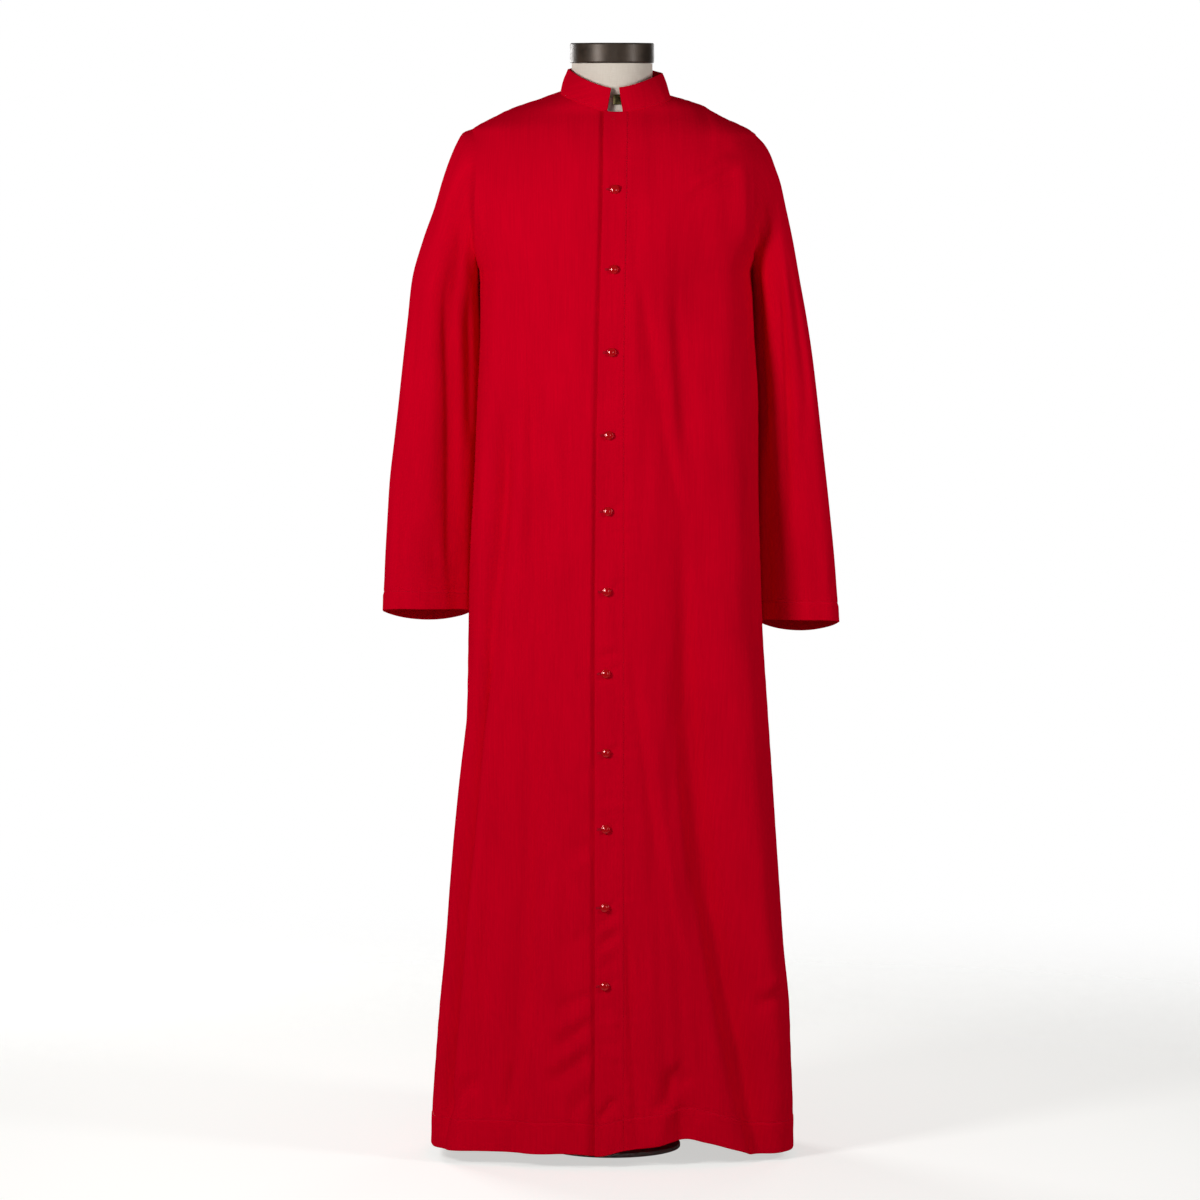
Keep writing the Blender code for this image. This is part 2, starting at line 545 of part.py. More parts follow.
def cloth(name, middle, normal, wall, spec, ring=False):
    """Closed wall round a grid of middle points: outer face, inner face and the rims between them."""
    rows, columns = middle.shape[:2]
    points = middle.reshape(-1, 3)
    offset = normal.reshape(-1, 3) * wall / 2
    count = len(points)
    vertices = np.vstack([points + offset, points - offset])
    faces = []
    wraps = columns if ring else columns - 1
    for i in range(rows - 1):
        for j in range(wraps):
            k = (j + 1) % columns
            quad = (i * columns + j, i * columns + k, (i + 1) * columns + k, (i + 1) * columns + j)
            for a, b, c in split_quad(*quad, points):
                faces.append((a, b, c))
                faces.append((c + count, b + count, a + count))
    rim = []
    rim += [(j, (j + 1) % columns) for j in range(wraps)]
    rim += [((rows - 1) * columns + (j + 1) % columns, (rows - 1) * columns + j) for j in range(wraps)]
    if not ring:
        rim += [((i + 1) * columns, i * columns) for i in range(rows - 1)]
        rim += [(i * columns + columns - 1, (i + 1) * columns + columns - 1) for i in range(rows - 1)]
    for a, b in rim:
        faces.append((b, a, a + count))
        faces.append((b, a + count, b + count))
    return new_object(name, vertices, faces, spec)


def lathe(name, centre, profile, sides, spec, axis=None, top=None):
    """Solid of rings (radius, height) about an axis, closed flat below and flat or pointed above."""
    axis = np.array([0.0, 0.0, 1.0]) if axis is None else axis / np.linalg.norm(axis)
    helper = np.array([1.0, 0.0, 0.0]) if abs(axis[0]) < 0.8 else np.array([0.0, 0.0, 1.0])
    across = np.cross(axis, helper)
    across /= np.linalg.norm(across)
    third = np.cross(axis, across)
    angle = np.arange(sides) * 2 * math.pi / sides
    around = np.cos(angle)[:, None] * across + np.sin(angle)[:, None] * third
    vertices = np.vstack([centre + radius * around + height * axis for radius, height in profile])
    faces = []
    for i in range(len(profile) - 1):
        for j in range(sides):
            k = (j + 1) % sides
            faces.append((i * sides + j, i * sides + k, (i + 1) * sides + k, (i + 1) * sides + j))
    faces.append(tuple(range(sides))[::-1])
    last = (len(profile) - 1) * sides
    if top is None:
        faces.append(tuple(last + j for j in range(sides)))
    else:
        vertices = np.vstack([vertices, centre + top * axis])
        faces += [(last + j, last + (j + 1) % sides, len(vertices) - 1) for j in range(sides)]
    return new_object(name, vertices, faces, spec)


# ---- sleeves --------------------------------------------------------------------------------------------
def armhole_ring(side):
    """Seam points from the shoulder tip down the front, through the underarm and up the back."""
    tau = np.linspace(0, 1, YOKE_ROWS + 1)
    fraction = (1 - np.cos(np.pi * tau)) / 2
    z = UNDERARM_Z + fraction * (SHOULDER_TIP_Z[side] - UNDERARM_Z)
    points, body_normals = [], []
    for face, order in (("front", range(YOKE_ROWS, 0, -1)), ("back", range(YOKE_ROWS))):
        for i in order:
            x, y = armhole_at(fraction[i], side, face)
            theta = theta_of(math.atan2(float(x), abs(float(y))), side, face)
            points.append(skin(np.array([theta]), np.array([z[i]]))[0])
            body_normals.append(skin_normal(np.array([theta]), np.array([z[i]]))[0])
    return np.array(points), np.array(body_normals)


def sleeve_rings(side):
    """Middle points of the sleeve: the armhole ring, then ovals hung between the outer and inner lines."""
    seam, _ = armhole_ring(side)
    count = len(seam)
    phi = np.arange(count) * 2 * math.pi / count
    rows = SLEEVE_ROWS[side]
    tip = seam[0]
    under = seam[count // 2]
    rings = [seam]
    first_oval = oval(side, abs(tip[0]), tip[2], abs(under[0]), under[2], ARMHOLE_DEPTH["front"], 0.0, phi)
    for k, (outer_x, outer_z, inner_x, inner_z, half_depth, centre_y) in enumerate(rows, start=1):
        ring = oval(side, outer_x, outer_z, inner_x, inner_z, half_depth, centre_y, phi)
        blend = SLEEVE_BLEND[k] if k < len(SLEEVE_BLEND) else 0.0
        ring = ring + blend * (seam - first_oval)
        away = ring - ring.mean(axis=0)
        away /= np.linalg.norm(away, axis=1, keepdims=True)
        for top_deg, end_deg, first, last, half_width, depth in SLEEVE_FOLDS[side]:
            t = (k - first) / (last - first)
            middle = top_deg + (end_deg - top_deg) * np.clip(t, 0, 1)
            turn = (np.degrees(phi) - middle + 180) % 360 - 180
            strength = depth * ease((k - first + 1) / 3) * ease((last + 3 - k) / 3)
            ring = ring + (strength * np.exp(-(turn / half_width) ** 2))[:, None] * away
        drop = CUFF_BACK_DROP * ease((k - 9) / (len(rows) - 9)) * (0.5 - 0.5 * np.sin(phi)) ** 2
        ring[:, 2] -= drop
        rings.append(ring)
    return np.array(rings)


def oval(side, outer_x, outer_z, inner_x, inner_z, half_depth, centre_y, phi):
    cos = np.cos(phi)
    x = (outer_x + inner_x) / 2 + (outer_x - inner_x) / 2 * cos
    z = (outer_z + inner_z) / 2 + (outer_z - inner_z) / 2 * cos
    y = centre_y - half_depth * np.sign(np.sin(phi)) * np.abs(np.sin(phi)) ** ARMHOLE_ROUND
    return np.stack([side * x, y, z], axis=-1)


def grid_normals(rings, outward_sign):
    around = np.roll(rings, -1, axis=1) - np.roll(rings, 1, axis=1)
    along = np.gradient(rings, axis=0)
    normal = np.cross(around, along) * outward_sign
    return normal / np.linalg.norm(normal, axis=-1, keepdims=True)


def armhole_frame(side):
    """Shared seam points, mitre normals and the direction from body to sleeve, for both pieces."""
    seam, body_normal = armhole_ring(side)
    rings = sleeve_rings(side)
    sleeve_normal = grid_normals(rings, side)[0]
    mitre = body_normal + sleeve_normal
    mitre /= np.linalg.norm(mitre, axis=1, keepdims=True)
    tangent = np.roll(seam, -1, axis=0) - np.roll(seam, 1, axis=0)
    out = np.cross(tangent, mitre)
    out /= np.linalg.norm(out, axis=1, keepdims=True)
    out *= np.sign(np.sum(out * (rings[1] - seam), axis=1))[:, None]
    return seam, mitre, out


# ---- the pieces -----------------------------------------------------------------------------------------
def apply_armhole(middle, normal, side, face, column):
    """Give the panel's armhole edge the shared seam points and mitre normals."""
    seam, mitre, out = armhole_frame(side)
    count = len(seam)
    first_row = middle.shape[0] - (YOKE_ROWS + 1)
    for i in range(YOKE_ROWS + 1):
        index = YOKE_ROWS - i if face == "front" else (YOKE_ROWS + i) % count
        point = seam[index] - SEAM_HALF_GAP * out[index]
        if i in (0, YOKE_ROWS):
            point = point + np.array([0, SEAM_HALF_GAP * (-1 if face == "front" else 1), 0])
        middle[first_row + i, column] = point
        normal[first_row + i, column] = mitre[index]


def stitch_turn(z):
    """Where the wearer's left front ends at the band."""
    return float(angle_at_x(np.interp(z, CLOSING[:, 0], CLOSING[:, 2]) + SEAM_HALF_GAP, z))


def underlap_turn(z):
    """Where the wearer's right front ends, under the band."""
    return -float(angle_at_x(np.interp(z, CLOSING[:, 0], CLOSING[:, 2]) - UNDERLAP_SHORT_OF_STITCH, z))


def centre_back_turn(z):
    return 0.0 * z


def build_front(name, side, centre_turn, lifted):
    turn, z = half_panel(side, "front", FRONT_COLUMNS, centre_turn)
    theta = side * turn
    middle = skin(theta, z, lifted=lifted)
    normal = skin_normal(theta, z, lifted=lifted)
    apply_armhole(middle, normal, side, "front", -1)
    if side < 0:
        middle, normal = middle[:, ::-1], normal[:, ::-1]
    return cloth(name, middle, normal, CLOTH_WALL, RED_CLOTH)


def build_back():
    halves = []
    for side in (1, -1):
        turn, z = half_panel(side, "back", BACK_COLUMNS // 2, centre_back_turn)
        theta = theta_of(turn, side, "back")
        middle = skin(theta, z)
        normal = skin_normal(theta, z)
        apply_armhole(middle, normal, side, "back", -1)
        halves.append((middle, normal))
    (left, left_n), (right, right_n) = halves
    middle = np.concatenate([left[:, ::-1], right[:, 1:]], axis=1)
    normal = np.concatenate([left_n[:, ::-1], right_n[:, 1:]], axis=1)
    return cloth("back", middle, normal, CLOTH_WALL, RED_CLOTH)


def build_band():
    """Folded strip with the buttonholes, from the closing edge to the stitch line."""
    share = np.linspace(0, 1, BAND_COLUMNS + 1)[None, :]
    low = rows_of_skirt()[:-1, None]
    up = np.linspace(0, 1, YOKE_ROWS + 1)[:, None]
    z = np.vstack([UNDERARM_Z * low, UNDERARM_Z + up * (NECK_FRONT_Z - UNDERARM_Z)]) + 0 * share
    for _ in range(2):
        edge = np.interp(z, CLOSING[:, 0], CLOSING[:, 1])
        stitch = np.interp(z, CLOSING[:, 0], CLOSING[:, 2]) - SEAM_HALF_GAP
        theta = angle_at_x(edge + share * (stitch - edge), z)
        hem = hem_z(theta[:SKIRT_ROWS])
        neck = neck_z(theta[-1:])
        z = np.vstack([hem + low * (UNDERARM_Z - hem), UNDERARM_Z + up * (neck - UNDERARM_Z)])
    middle = skin(theta, z, lifted=True)
    normal = skin_normal(theta, z, lifted=True)
    return cloth("button_band", middle, normal, BAND_WALL, RED_CLOTH)


def build_collar():
    rows = []
    for v in np.linspace(0, 1, COLLAR_ROWS + 1):
        left_x = COLLAR_END_X[1][0] * (1 - v) + COLLAR_END_X[1][1] * v
        right_x = COLLAR_END_X[-1][0] * (1 - v) + COLLAR_END_X[-1][1] * v
        start = math.asin(left_x / COLLAR_NECK_RADIUS)
        end = math.asin(right_x / COLLAR_NECK_RADIUS) + 2 * math.pi
        theta = np.linspace(start, end, COLLAR_COLUMNS + 1)
        wrapped = (theta + np.pi) % (2 * np.pi) - np.pi
        plain = skin(wrapped, neck_z(wrapped), with_folds=False)
        lifted = skin(wrapped, neck_z(wrapped), with_folds=False, lifted=True)
        low = np.where((np.sin(theta) >= 0)[:, None], lifted, plain) + np.array([0, 0, COLLAR_LIFT])
        side_z = np.where(np.sin(theta) >= 0, COLLAR_TOP_Z[1], COLLAR_TOP_Z[-1])
        side_power = np.where(np.sin(theta) >= 0, COLLAR_TOP_POWER[1], COLLAR_TOP_POWER[-1])
        half = np.where(np.sin(theta) >= 0, COLLAR_TOP_HALF_WIDTH[1], COLLAR_TOP_HALF_WIDTH[-1])
        rise = np.abs(np.sin(theta))
        is_front = np.cos(theta) >= 0
        depth = np.where(is_front, COLLAR_TOP_DEPTH["front"], COLLAR_TOP_DEPTH["back"])
        front_z = COLLAR_TOP_Z["front"] + (side_z - COLLAR_TOP_Z["front"]) * rise**side_power
        back_z = COLLAR_TOP_Z["back"] + (side_z - COLLAR_TOP_Z["back"]) * rise**2
        radius = power_mean_radius(theta, half, depth, 2.0)
        top_z = np.where(is_front, front_z, back_z)
        high = np.stack([radius * np.sin(theta), -radius * np.cos(theta), top_z], -1)
        rows.append(low * (1 - v) + high * v)
    middle = np.array(rows)
    around = np.gradient(middle, axis=1)
    upward = np.gradient(middle, axis=0)
    normal = np.cross(around, upward)
    normal[..., 2] *= COLLAR_NORMAL_RISE
    normal /= np.linalg.norm(normal, axis=-1, keepdims=True)
    return cloth("collar", middle, normal, COLLAR_WALL, RED_CLOTH)


def build_sleeve(name, side):
    rings = sleeve_rings(side)
    normal = grid_normals(rings, side)
    seam, mitre, out = armhole_frame(side)
    rings[0] = seam + SEAM_HALF_GAP * out
    normal[0] = mitre
    if side < 0:
        middle, normals = rings[::-1], normal[::-1]
    else:
        middle, normals = rings, normal
    return cloth(name, middle, normals, CLOTH_WALL, RED_CLOTH, ring=True)


def build_buttons():
    for number, (x, z) in enumerate(BUTTONS, start=1):
        theta = angle_at_x(np.array([x]), np.array([z]))
        point = skin(theta, np.array([z]), lifted=True)[0]
        axis = skin_normal(theta, np.array([z]), lifted=True)[0]
        profile = [(BUTTON_RADIUS * share, height * MM) for share, height in BUTTON_PROFILE]
        seat = point + axis * BAND_WALL / 2
        lathe(f"button_{number:02d}", seat, profile, BUTTON_SIDES, RED_BUTTON, axis, BUTTON_TOP)


def build_hook():
    """Flat wire bent back on itself, standing in the gap of the collar."""
    path = np.array(HOOK_PATH)
    tangent = np.gradient(path, axis=0)
    tangent /= np.linalg.norm(tangent, axis=1, keepdims=True)
    side = np.stack([-tangent[:, 1], tangent[:, 0]], axis=1) * HOOK_WALL / 2
    vertices = []
    for sign_side, sign_z in ((1, 1), (-1, 1), (-1, -1), (1, -1)):
        flat = path + sign_side * side
        flat = flat + np.array([0.0, HOOK_LEAN * sign_z * HOOK_HEIGHT / 2])
        height = np.full((len(path), 1), HOOK_CENTRE_Z + sign_z * HOOK_HEIGHT / 2)
        vertices.append(np.hstack([flat, height]))
    vertices = np.stack(vertices, axis=1).reshape(-1, 3)
    faces = [(3, 2, 1, 0)]
    for i in range(len(path) - 1):
        for j in range(4):
            k = (j + 1) % 4
            faces.append((i * 4 + j, i * 4 + k, (i + 1) * 4 + k, (i + 1) * 4 + j))
    end = (len(path) - 1) * 4
    faces.append((end, end + 1, end + 2, end + 3))
    return new_object("collar_hook", vertices, faces, BRASS_HOOK, smooth=False)


def build_form():
    theta = (np.arange(FORM_SIDES) * 2 * math.pi / FORM_SIDES + math.pi) % (2 * math.pi) - math.pi

    def oval_ring(z, half, front, back, centre, power):
        depth = np.where(np.cos(theta) >= 0, front, back)
        radius = power_mean_radius(theta, half, depth, power)
        return np.stack([radius * np.sin(theta), centre - radius * np.cos(theta), np.full(FORM_SIDES, z)], -1)

    rings = [oval_ring(*row, FORM_TORSO_POWER) for row in FORM_TORSO]
    for z, share, clear, more in FORM_SHOULDER:
        height = np.full(FORM_SIDES, z)
        inset = clear + more * np.cos(theta) ** 2
        ring = skin(theta, height, with_folds=False) - inset[:, None] * skin_normal(theta, height)
        ring[:, 0] *= share
        rings.append(ring)
    rings += [oval_ring(*row, 2.0) for row in FORM_NECK]
    vertices = np.vstack(rings)
    faces = []
    for i in range(len(rings) - 1):
        for j in range(FORM_SIDES):
            k = (j + 1) % FORM_SIDES
            low = i * FORM_SIDES
            high = (i + 1) * FORM_SIDES
            faces.append((low + j, low + k, high + k, high + j))
    faces.append(tuple(range(FORM_SIDES))[::-1])
    faces.append(tuple((len(rings) - 1) * FORM_SIDES + j for j in range(FORM_SIDES)))
    new_object("form_body", vertices, faces, LINEN)
    neck = np.array([0.0, NECK_CENTRE_Y, 0.0])
    lathe("form_cap", neck, [
        (CAP_RADIUS - CAP_EDGE * 0.6, CAP_BOTTOM_Z), (CAP_RADIUS, CAP_BOTTOM_Z + CAP_EDGE * 0.6),
        (CAP_RADIUS, CAP_TOP_Z - CAP_EDGE), (CAP_RADIUS - CAP_EDGE * 0.3, CAP_TOP_Z - CAP_EDGE * 0.3),
        (CAP_RADIUS - CAP_EDGE, CAP_TOP_Z),
    ], CAP_SIDES, BRONZE_CAP)
    lathe("form_pole", neck, [
        (POLE_RADIUS, BASE_THICKNESS + SEAT_GAP), (POLE_RADIUS, FORM_TORSO[0, 0] - SEAT_GAP),
    ], POLE_SIDES, STEEL)
    lathe("form_base", np.zeros(3), [
        (BASE_RADIUS, 0.0), (BASE_RADIUS, BASE_THICKNESS - BASE_EDGE), (BASE_RADIUS - BASE_EDGE, BASE_THICKNESS),
    ], BASE_SIDES, WHITE_PAINT)


def clear_scene():
    for body in list(bpy.data.objects):
        bpy.data.objects.remove(body, do_unlink=True)


def main():
    clear_scene()
    build_front("front_left", 1, stitch_turn, lifted=True)
    build_front("front_right", -1, underlap_turn, lifted=False)
    build_back()
    build_sleeve("sleeve_left", 1)
    build_sleeve("sleeve_right", -1)
    build_collar()
    build_band()
    build_buttons()
    build_hook()
    build_form()


main()
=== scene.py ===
"""Cassock on a limbless dress form: finished cloth, sewing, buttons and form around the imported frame.

Metres, +Z up, the buttoned front facing -Y. The garment's skin is one function, skin(theta, z): rings round
the form, theta = 0 at centre front, +90 degrees at the wearer's left side. Each cloth piece is a fine grid
on that skin between its own cut lines, moved along the skin's normal by its creases, and given a wall.
"""
import math

import bpy
import numpy as np
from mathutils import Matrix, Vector


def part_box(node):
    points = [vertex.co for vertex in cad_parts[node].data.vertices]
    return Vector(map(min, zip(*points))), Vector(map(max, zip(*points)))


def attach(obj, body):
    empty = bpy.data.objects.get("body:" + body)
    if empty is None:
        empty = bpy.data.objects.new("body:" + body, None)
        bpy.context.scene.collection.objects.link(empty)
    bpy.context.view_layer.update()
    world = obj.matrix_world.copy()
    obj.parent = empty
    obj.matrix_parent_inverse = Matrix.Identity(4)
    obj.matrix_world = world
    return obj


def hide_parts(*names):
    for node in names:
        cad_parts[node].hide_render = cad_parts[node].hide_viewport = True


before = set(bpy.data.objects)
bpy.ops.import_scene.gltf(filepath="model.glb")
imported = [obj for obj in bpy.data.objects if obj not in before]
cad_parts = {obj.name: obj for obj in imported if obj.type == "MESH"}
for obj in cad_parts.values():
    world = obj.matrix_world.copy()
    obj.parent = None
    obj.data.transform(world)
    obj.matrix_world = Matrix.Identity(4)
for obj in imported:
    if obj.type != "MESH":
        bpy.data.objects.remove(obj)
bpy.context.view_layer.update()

bl_info = {
    "name": "Cassock on a Dress Form",
    "version": (1, 0, 0),
    "blender": (4, 5, 0),
    "location": "3D View > Sidebar > Cassock",
    "description": "Builds a plain buttoned cassock on a limbless dress form",
    "category": "Add Mesh",
}

MM = 0.001
RIGHT, LEFT = -1, 1            # the wearer's right and left
FACES = ("front", "back")

# ---- the garment's skin -----------------------------------
BAND_LIFT = 2.6 * MM          # the closing edge rides this far above the underlap
BAND_TILT = 1.6 * MM          # and this much further out at the closing edge than at the stitch line
BAND_LIFT_FADES_AT = 0.065    # x where the left front is back on the skin
UNDERLAP_SHORT_OF_STITCH = 7.0 * MM
UNDERARM_Z = 1.215
SHOULDER_TIP_Z = {RIGHT: 1.410, LEFT: 1.401}
NECK_SIDE_Z = {RIGHT: 1.4617, LEFT: 1.4563}
NECK_FRONT_Z = 1.4318
NECK_BACK_Z = 1.470
NECK_DROP_POWER = {RIGHT: 1.3, LEFT: 2.2}
HEM_MEAN_Z = 0.015

# Rings of the skin, in mm: z, half width on the wearer's right, half width on the wearer's left, front y,
# back y, y of the widest point; then the power of the outline (2 is an ellipse, more is squarer)
RINGS = np.array([
    (0, 249, 249.3, -171, 195, -60, 2.3),
    (64, 247.3, 249, -169, 192, -59, 2.3),
    (149, 241.6, 245.9, -166, 187, -57, 2.3),
    (205, 237.3, 244, -164, 183, -56, 2.3),
    (289, 228.8, 235.9, -161, 177, -55, 2.3),
    (373, 221.6, 230.1, -158, 171, -53, 2.3),
    (456, 213.2, 224.3, -155, 164, -52, 2.3),
    (540, 204.7, 218.6, -152, 157, -51, 2.32),
    (623, 198.5, 212.9, -150, 150, -50, 2.35),
    (734, 196.5, 205.7, -147, 141, -48, 2.35),
    (823, 194.5, 202.7, -146, 134, -46, 2.38),
    (929, 188.8, 200, -143, 128, -44, 2.4),
    (1034, 184.4, 199.5, -140, 123, -42, 2.4),
    (1140, 180, 193.5, -137, 125, -30, 2.4),
    (1185, 180.3, 192, -135, 127, -14, 2.4),
    (1215, 181.5, 191, -134, 129, 0, 2.4),
    (1260, 188, 195, -132, 128, 0, 2.4),
    (1310, 190, 195, -127, 124, 0, 2.4),
    (1360, 190, 195, -115, 114, 0, 2.38),
    (1400, 193, 197, -99, 101, 0, 2.32),
    (1408.5, 191, 187.7, -94, 98, 0, 2.3),
    (1416.7, 179.5, 171.2, -89, 94, 0, 2.28),
    (1424.9, 163.5, 153.4, -83, 90, 0, 2.24),
    (1433.1, 147.5, 138.3, -77, 86, 0, 2.2),
    (1441.3, 127.5, 124, -74, 81, 0, 2.12),
    (1449.5, 102.9, 101.3, -71, 76, 0, 2.05),
    (1456.3, 85, 78, -68, 72, 0, 2),
    (1461.7, 70, 73, -66, 69, 0, 2),
    (1470, 64, 69, -64, 64, 0, 2),
    (1540, 58, 60, -58, 58, 0, 2),
]) * (MM, MM, MM, MM, MM, MM, 1)

# half width of the armhole seam by fraction of its height, wearer's right then left, in mm
ARMHOLE = np.array([
    (0, 181.5, 191),
    (0.25, 187, 191.2),
    (0.5, 186.5, 192),
    (0.75, 184, 193),
    (1, 190.5, 196.5),
]) * (1, MM, MM)
ARMHOLE_DEPTH = {"front": 0.086, "back": 0.070}
ARMHOLE_ROUND = 1.2

# angle round the garment in degrees, height of the hem edge in mm
HEM = np.array([
    (-180, 14), (-150, 12), (-120, 17), (-90, 17), (-78, 16.9), (-63, 18.1), (-49, 18), (-31, 19.3),
    (-10, 16.6), (8, 23.5), (29, 29), (39, 34.5), (47, 37), (55, 31), (63.5, 19.5), (72, 10.9), (78, 10),
    (90, 13), (120, 18), (150, 12), (180, 14),
]) * (1, MM)

# in mm: z, x of the closing edge, x of the stitch line where band and left front meet
CLOSING = np.array([
    (0, -23.7, 16.2),
    (760, -23.7, 16.2),
    (1000, -21.2, 16.2),
    (1090, -19, 16.3),
    (1236, -15, 18.5),
    (1367.5, -12.2, 20.6),
    (1445, -11, 21.7),
]) * MM

# The large folds: face, then in mm the height where it starts, height of full depth, height where it ends,
# x at top and bottom, half width at top and bottom, depth at top and bottom (minus goes inwards)
FOLDS = [
    ("front", 1360, 1180, 560, 112, 124, 34, 34, -13, -6),
    ("front", 740, 480, 0, 80, 227, 24, 30, -6, -22),
    ("front", 1120, 760, 0, 125, 240, 28, 30, 6, 8),
    ("front", 800, 400, 0, 45, 125, 20, 26, -3, -6),
    ("front", 1120, 860, 0, -122, -150, 20, 28, -8, -12),
    ("front", 980, 560, 0, -160, -215, 18, 22, 4, 8),
    ("front", 700, 300, 0, -75, -95, 30, 34, 2, 6),
    ("back", 1150, 720, 0, -85, -150, 26, 36, -9, -20),
    ("back", 1050, 600, 0, 0, 10, 26, 40, -7, -18),
    ("back", 1180, 700, 0, 95, 165, 26, 36, -9, -21),
    ("back", 900, 450, 0, -45, -75, 24, 34, 5, 12),
    ("back", 860, 420, 0, 50, 85, 24, 34, 5, 13),
]

FOLD_SIDE_FADE = 0.30         # a fold fades where the cosine of its angle falls under this

# ---- creases ----------------------------------------------
CREASE_EASE = 0.28            # share of its length over which a crease fades in, and out

# Creases of the front, in mm: arc from centre front (+ to the wearer's left) and height
# where it starts, the same where it ends, sideways bow, half width at start and end, lean (+ is steeper on
# the far side, no unit), depth (minus goes inwards)
FRONT_CREASES = [
    # wearer's right: the turned fold edge beside the side panel, ridge then deep narrow trough
    (-140, 960, -222, 20, -4, 12, 16, -0.2, 4.4),
    (-178, 790, -250, -55, 2, 12, 14, 0.1, -23),
    (-206, 720, -268, -60, 0, 10, 12, 0, 9),
    (-150, 1050, -178, 560, 0, 16, 16, 0.35, -15),
    # the long soft trough and its ridge
    (-127, 1288, -108, 560, 4, 10, 14, 0.2, -3.2),
    (-112, 760, -150, -20, 12, 14, 18, 0.2, -4.4),
    (-132, 1260, -165, 720, -6, 9, 12, 0, -2.4),
    (-120, 1170, -147, 740, 0, 8, 11, 0, 2.6),
    (-92, 1120, -80, 640, 3, 9, 12, 0, 1.6),
    (-62, 1090, -56, 700, -2, 7, 9, 0, -1.1),
    (-74, 1020, -70, 800, 1, 6, 8, 0, 1.1),
    (-84, 700, -92, 120, 4, 12, 18, 0, 1.9),
    (-60, 480, -64, 180, -3, 10, 14, 0, -1.3),
    (-178, 420, -186, 60, 3, 10, 14, 0, -2.4),
    (-165, 380, -170, 90, -2, 8, 11, 0, 1.7),
    (-184, 128, -239, 62, 3, 8, 12, 0.2, -4.7),
    (-145, 150, -160, 60, 2, 8, 10, 0, -3.5),
    # drag lines that fan out from the closing edge low down
    (-22, 240, -75, 214, -2, 6, 9, 0.1, -2.4),
    (-23, 222, -88, 186, 3, 6, 9, 0, 1.9),
    (-23, 206, -84, 162, 3, 6, 9, 0, -2.6),
    (-23, 186, -96, 134, 4, 7, 10, 0, 2.2),
    (-23, 166, -96, 108, 3, 6, 10, 0, -2.4),
    (-23, 140, -70, 94, 2, 6, 9, 0, 1.7),
    (-23, 112, -60, 70, 0, 6, 8, 0, -1.7),
    (-26, 452, -55, 430, 2, 7, 10, 0, -1.6),
    (-26, 424, -60, 396, -2, 7, 10, 0, 1.3),
    (-26, 674, -52, 664, 2, 7, 10, 0, -1.1),
    (-26, 560, -66, 500, 3, 9, 12, 0, -1.1),
    (-26, 336, -64, 300, 3, 8, 11, 0, -1.6),
    # chest and armhole
    (-178, 1345, -205, 1225, 4, 10, 16, 0, -2.6),
    (-150, 1300, -172, 1180, 4, 12, 16, 0, 1.7),
    (-100, 1300, -98, 1120, 3, 16, 20, 0, -1.3),
    # wearer's left: edge of the long trough and the ridges beside it
    (37, 1225, 104, 860, -4, 9, 12, 0.3, -4.8),
    (100, 900, 262, -120, -34, 14, 18, 0.35, -13),
    (150, 900, 272, 20, -28, 18, 22, 0, 4),
    (28, 1220, 30, 1060, 2, 7, 10, 0, 2.4),
    (88, 1215, 112, 940, 2, 10, 13, 0, -3),
    (70, 1190, 94, 960, 0, 8, 10, 0, 1.9),
    (124, 1140, 138, 820, 2, 12, 15, 0, 1.9),
    (150, 1180, 176, 760, 4, 20, 26, 0, 3.2),
    (20, 755, 118, 205, -10, 7, 10, 0.2, -3.7),
    (44, 700, 100, 300, -6, 10, 14, 0, 2.2),
    (70, 480, 112, 160, 4, 12, 14, 0, 1.7),
    (40, 560, 70, 200, 4, 9, 12, 0, -1.6),
    (21, 380, 37, -20, -2, 6, 8, -0.2, -4.5),
    (46, 300, 58, 60, 2, 9, 12, 0, 1.9),
    (118, 420, 160, 90, 3, 12, 16, 0, 2),
    (204, 214, 262, 240, 3, 8, 10, 0.2, -4),
    (206, 234, 256, 262, 2, 8, 10, 0, 2.2),
    (232, 560, 268, 120, 4, 14, 18, 0, -2.2),
    # the lifted dent above the hem
    (60, 70, 83, 142, -10, 12, 12, 0, -7.6),
    (90, 146, 120, 110, -5, 9, 11, 0, -3.4),
    (78, 112, 52, 12, 3, 10, 13, 0, 4.6),
    (99, 98, 106, -10, -3, 10, 13, 0, -4),
    (128, 80, 136, -10, 2, 12, 14, 0, 3.5),
    # shoulder and chest
    (98, 1312, 184, 1354, 4, 8, 11, 0, -3.2),
    (100, 1328, 180, 1374, 4, 8, 12, 0, 3.2),
    (112, 1346, 172, 1392, 4, 8, 12, 0, -2.2),
    (120, 1300, 150, 1180, 4, 14, 18, 0, -1.7),
    (180, 1370, 196, 1240, -3, 12, 16, 0, 3),
]

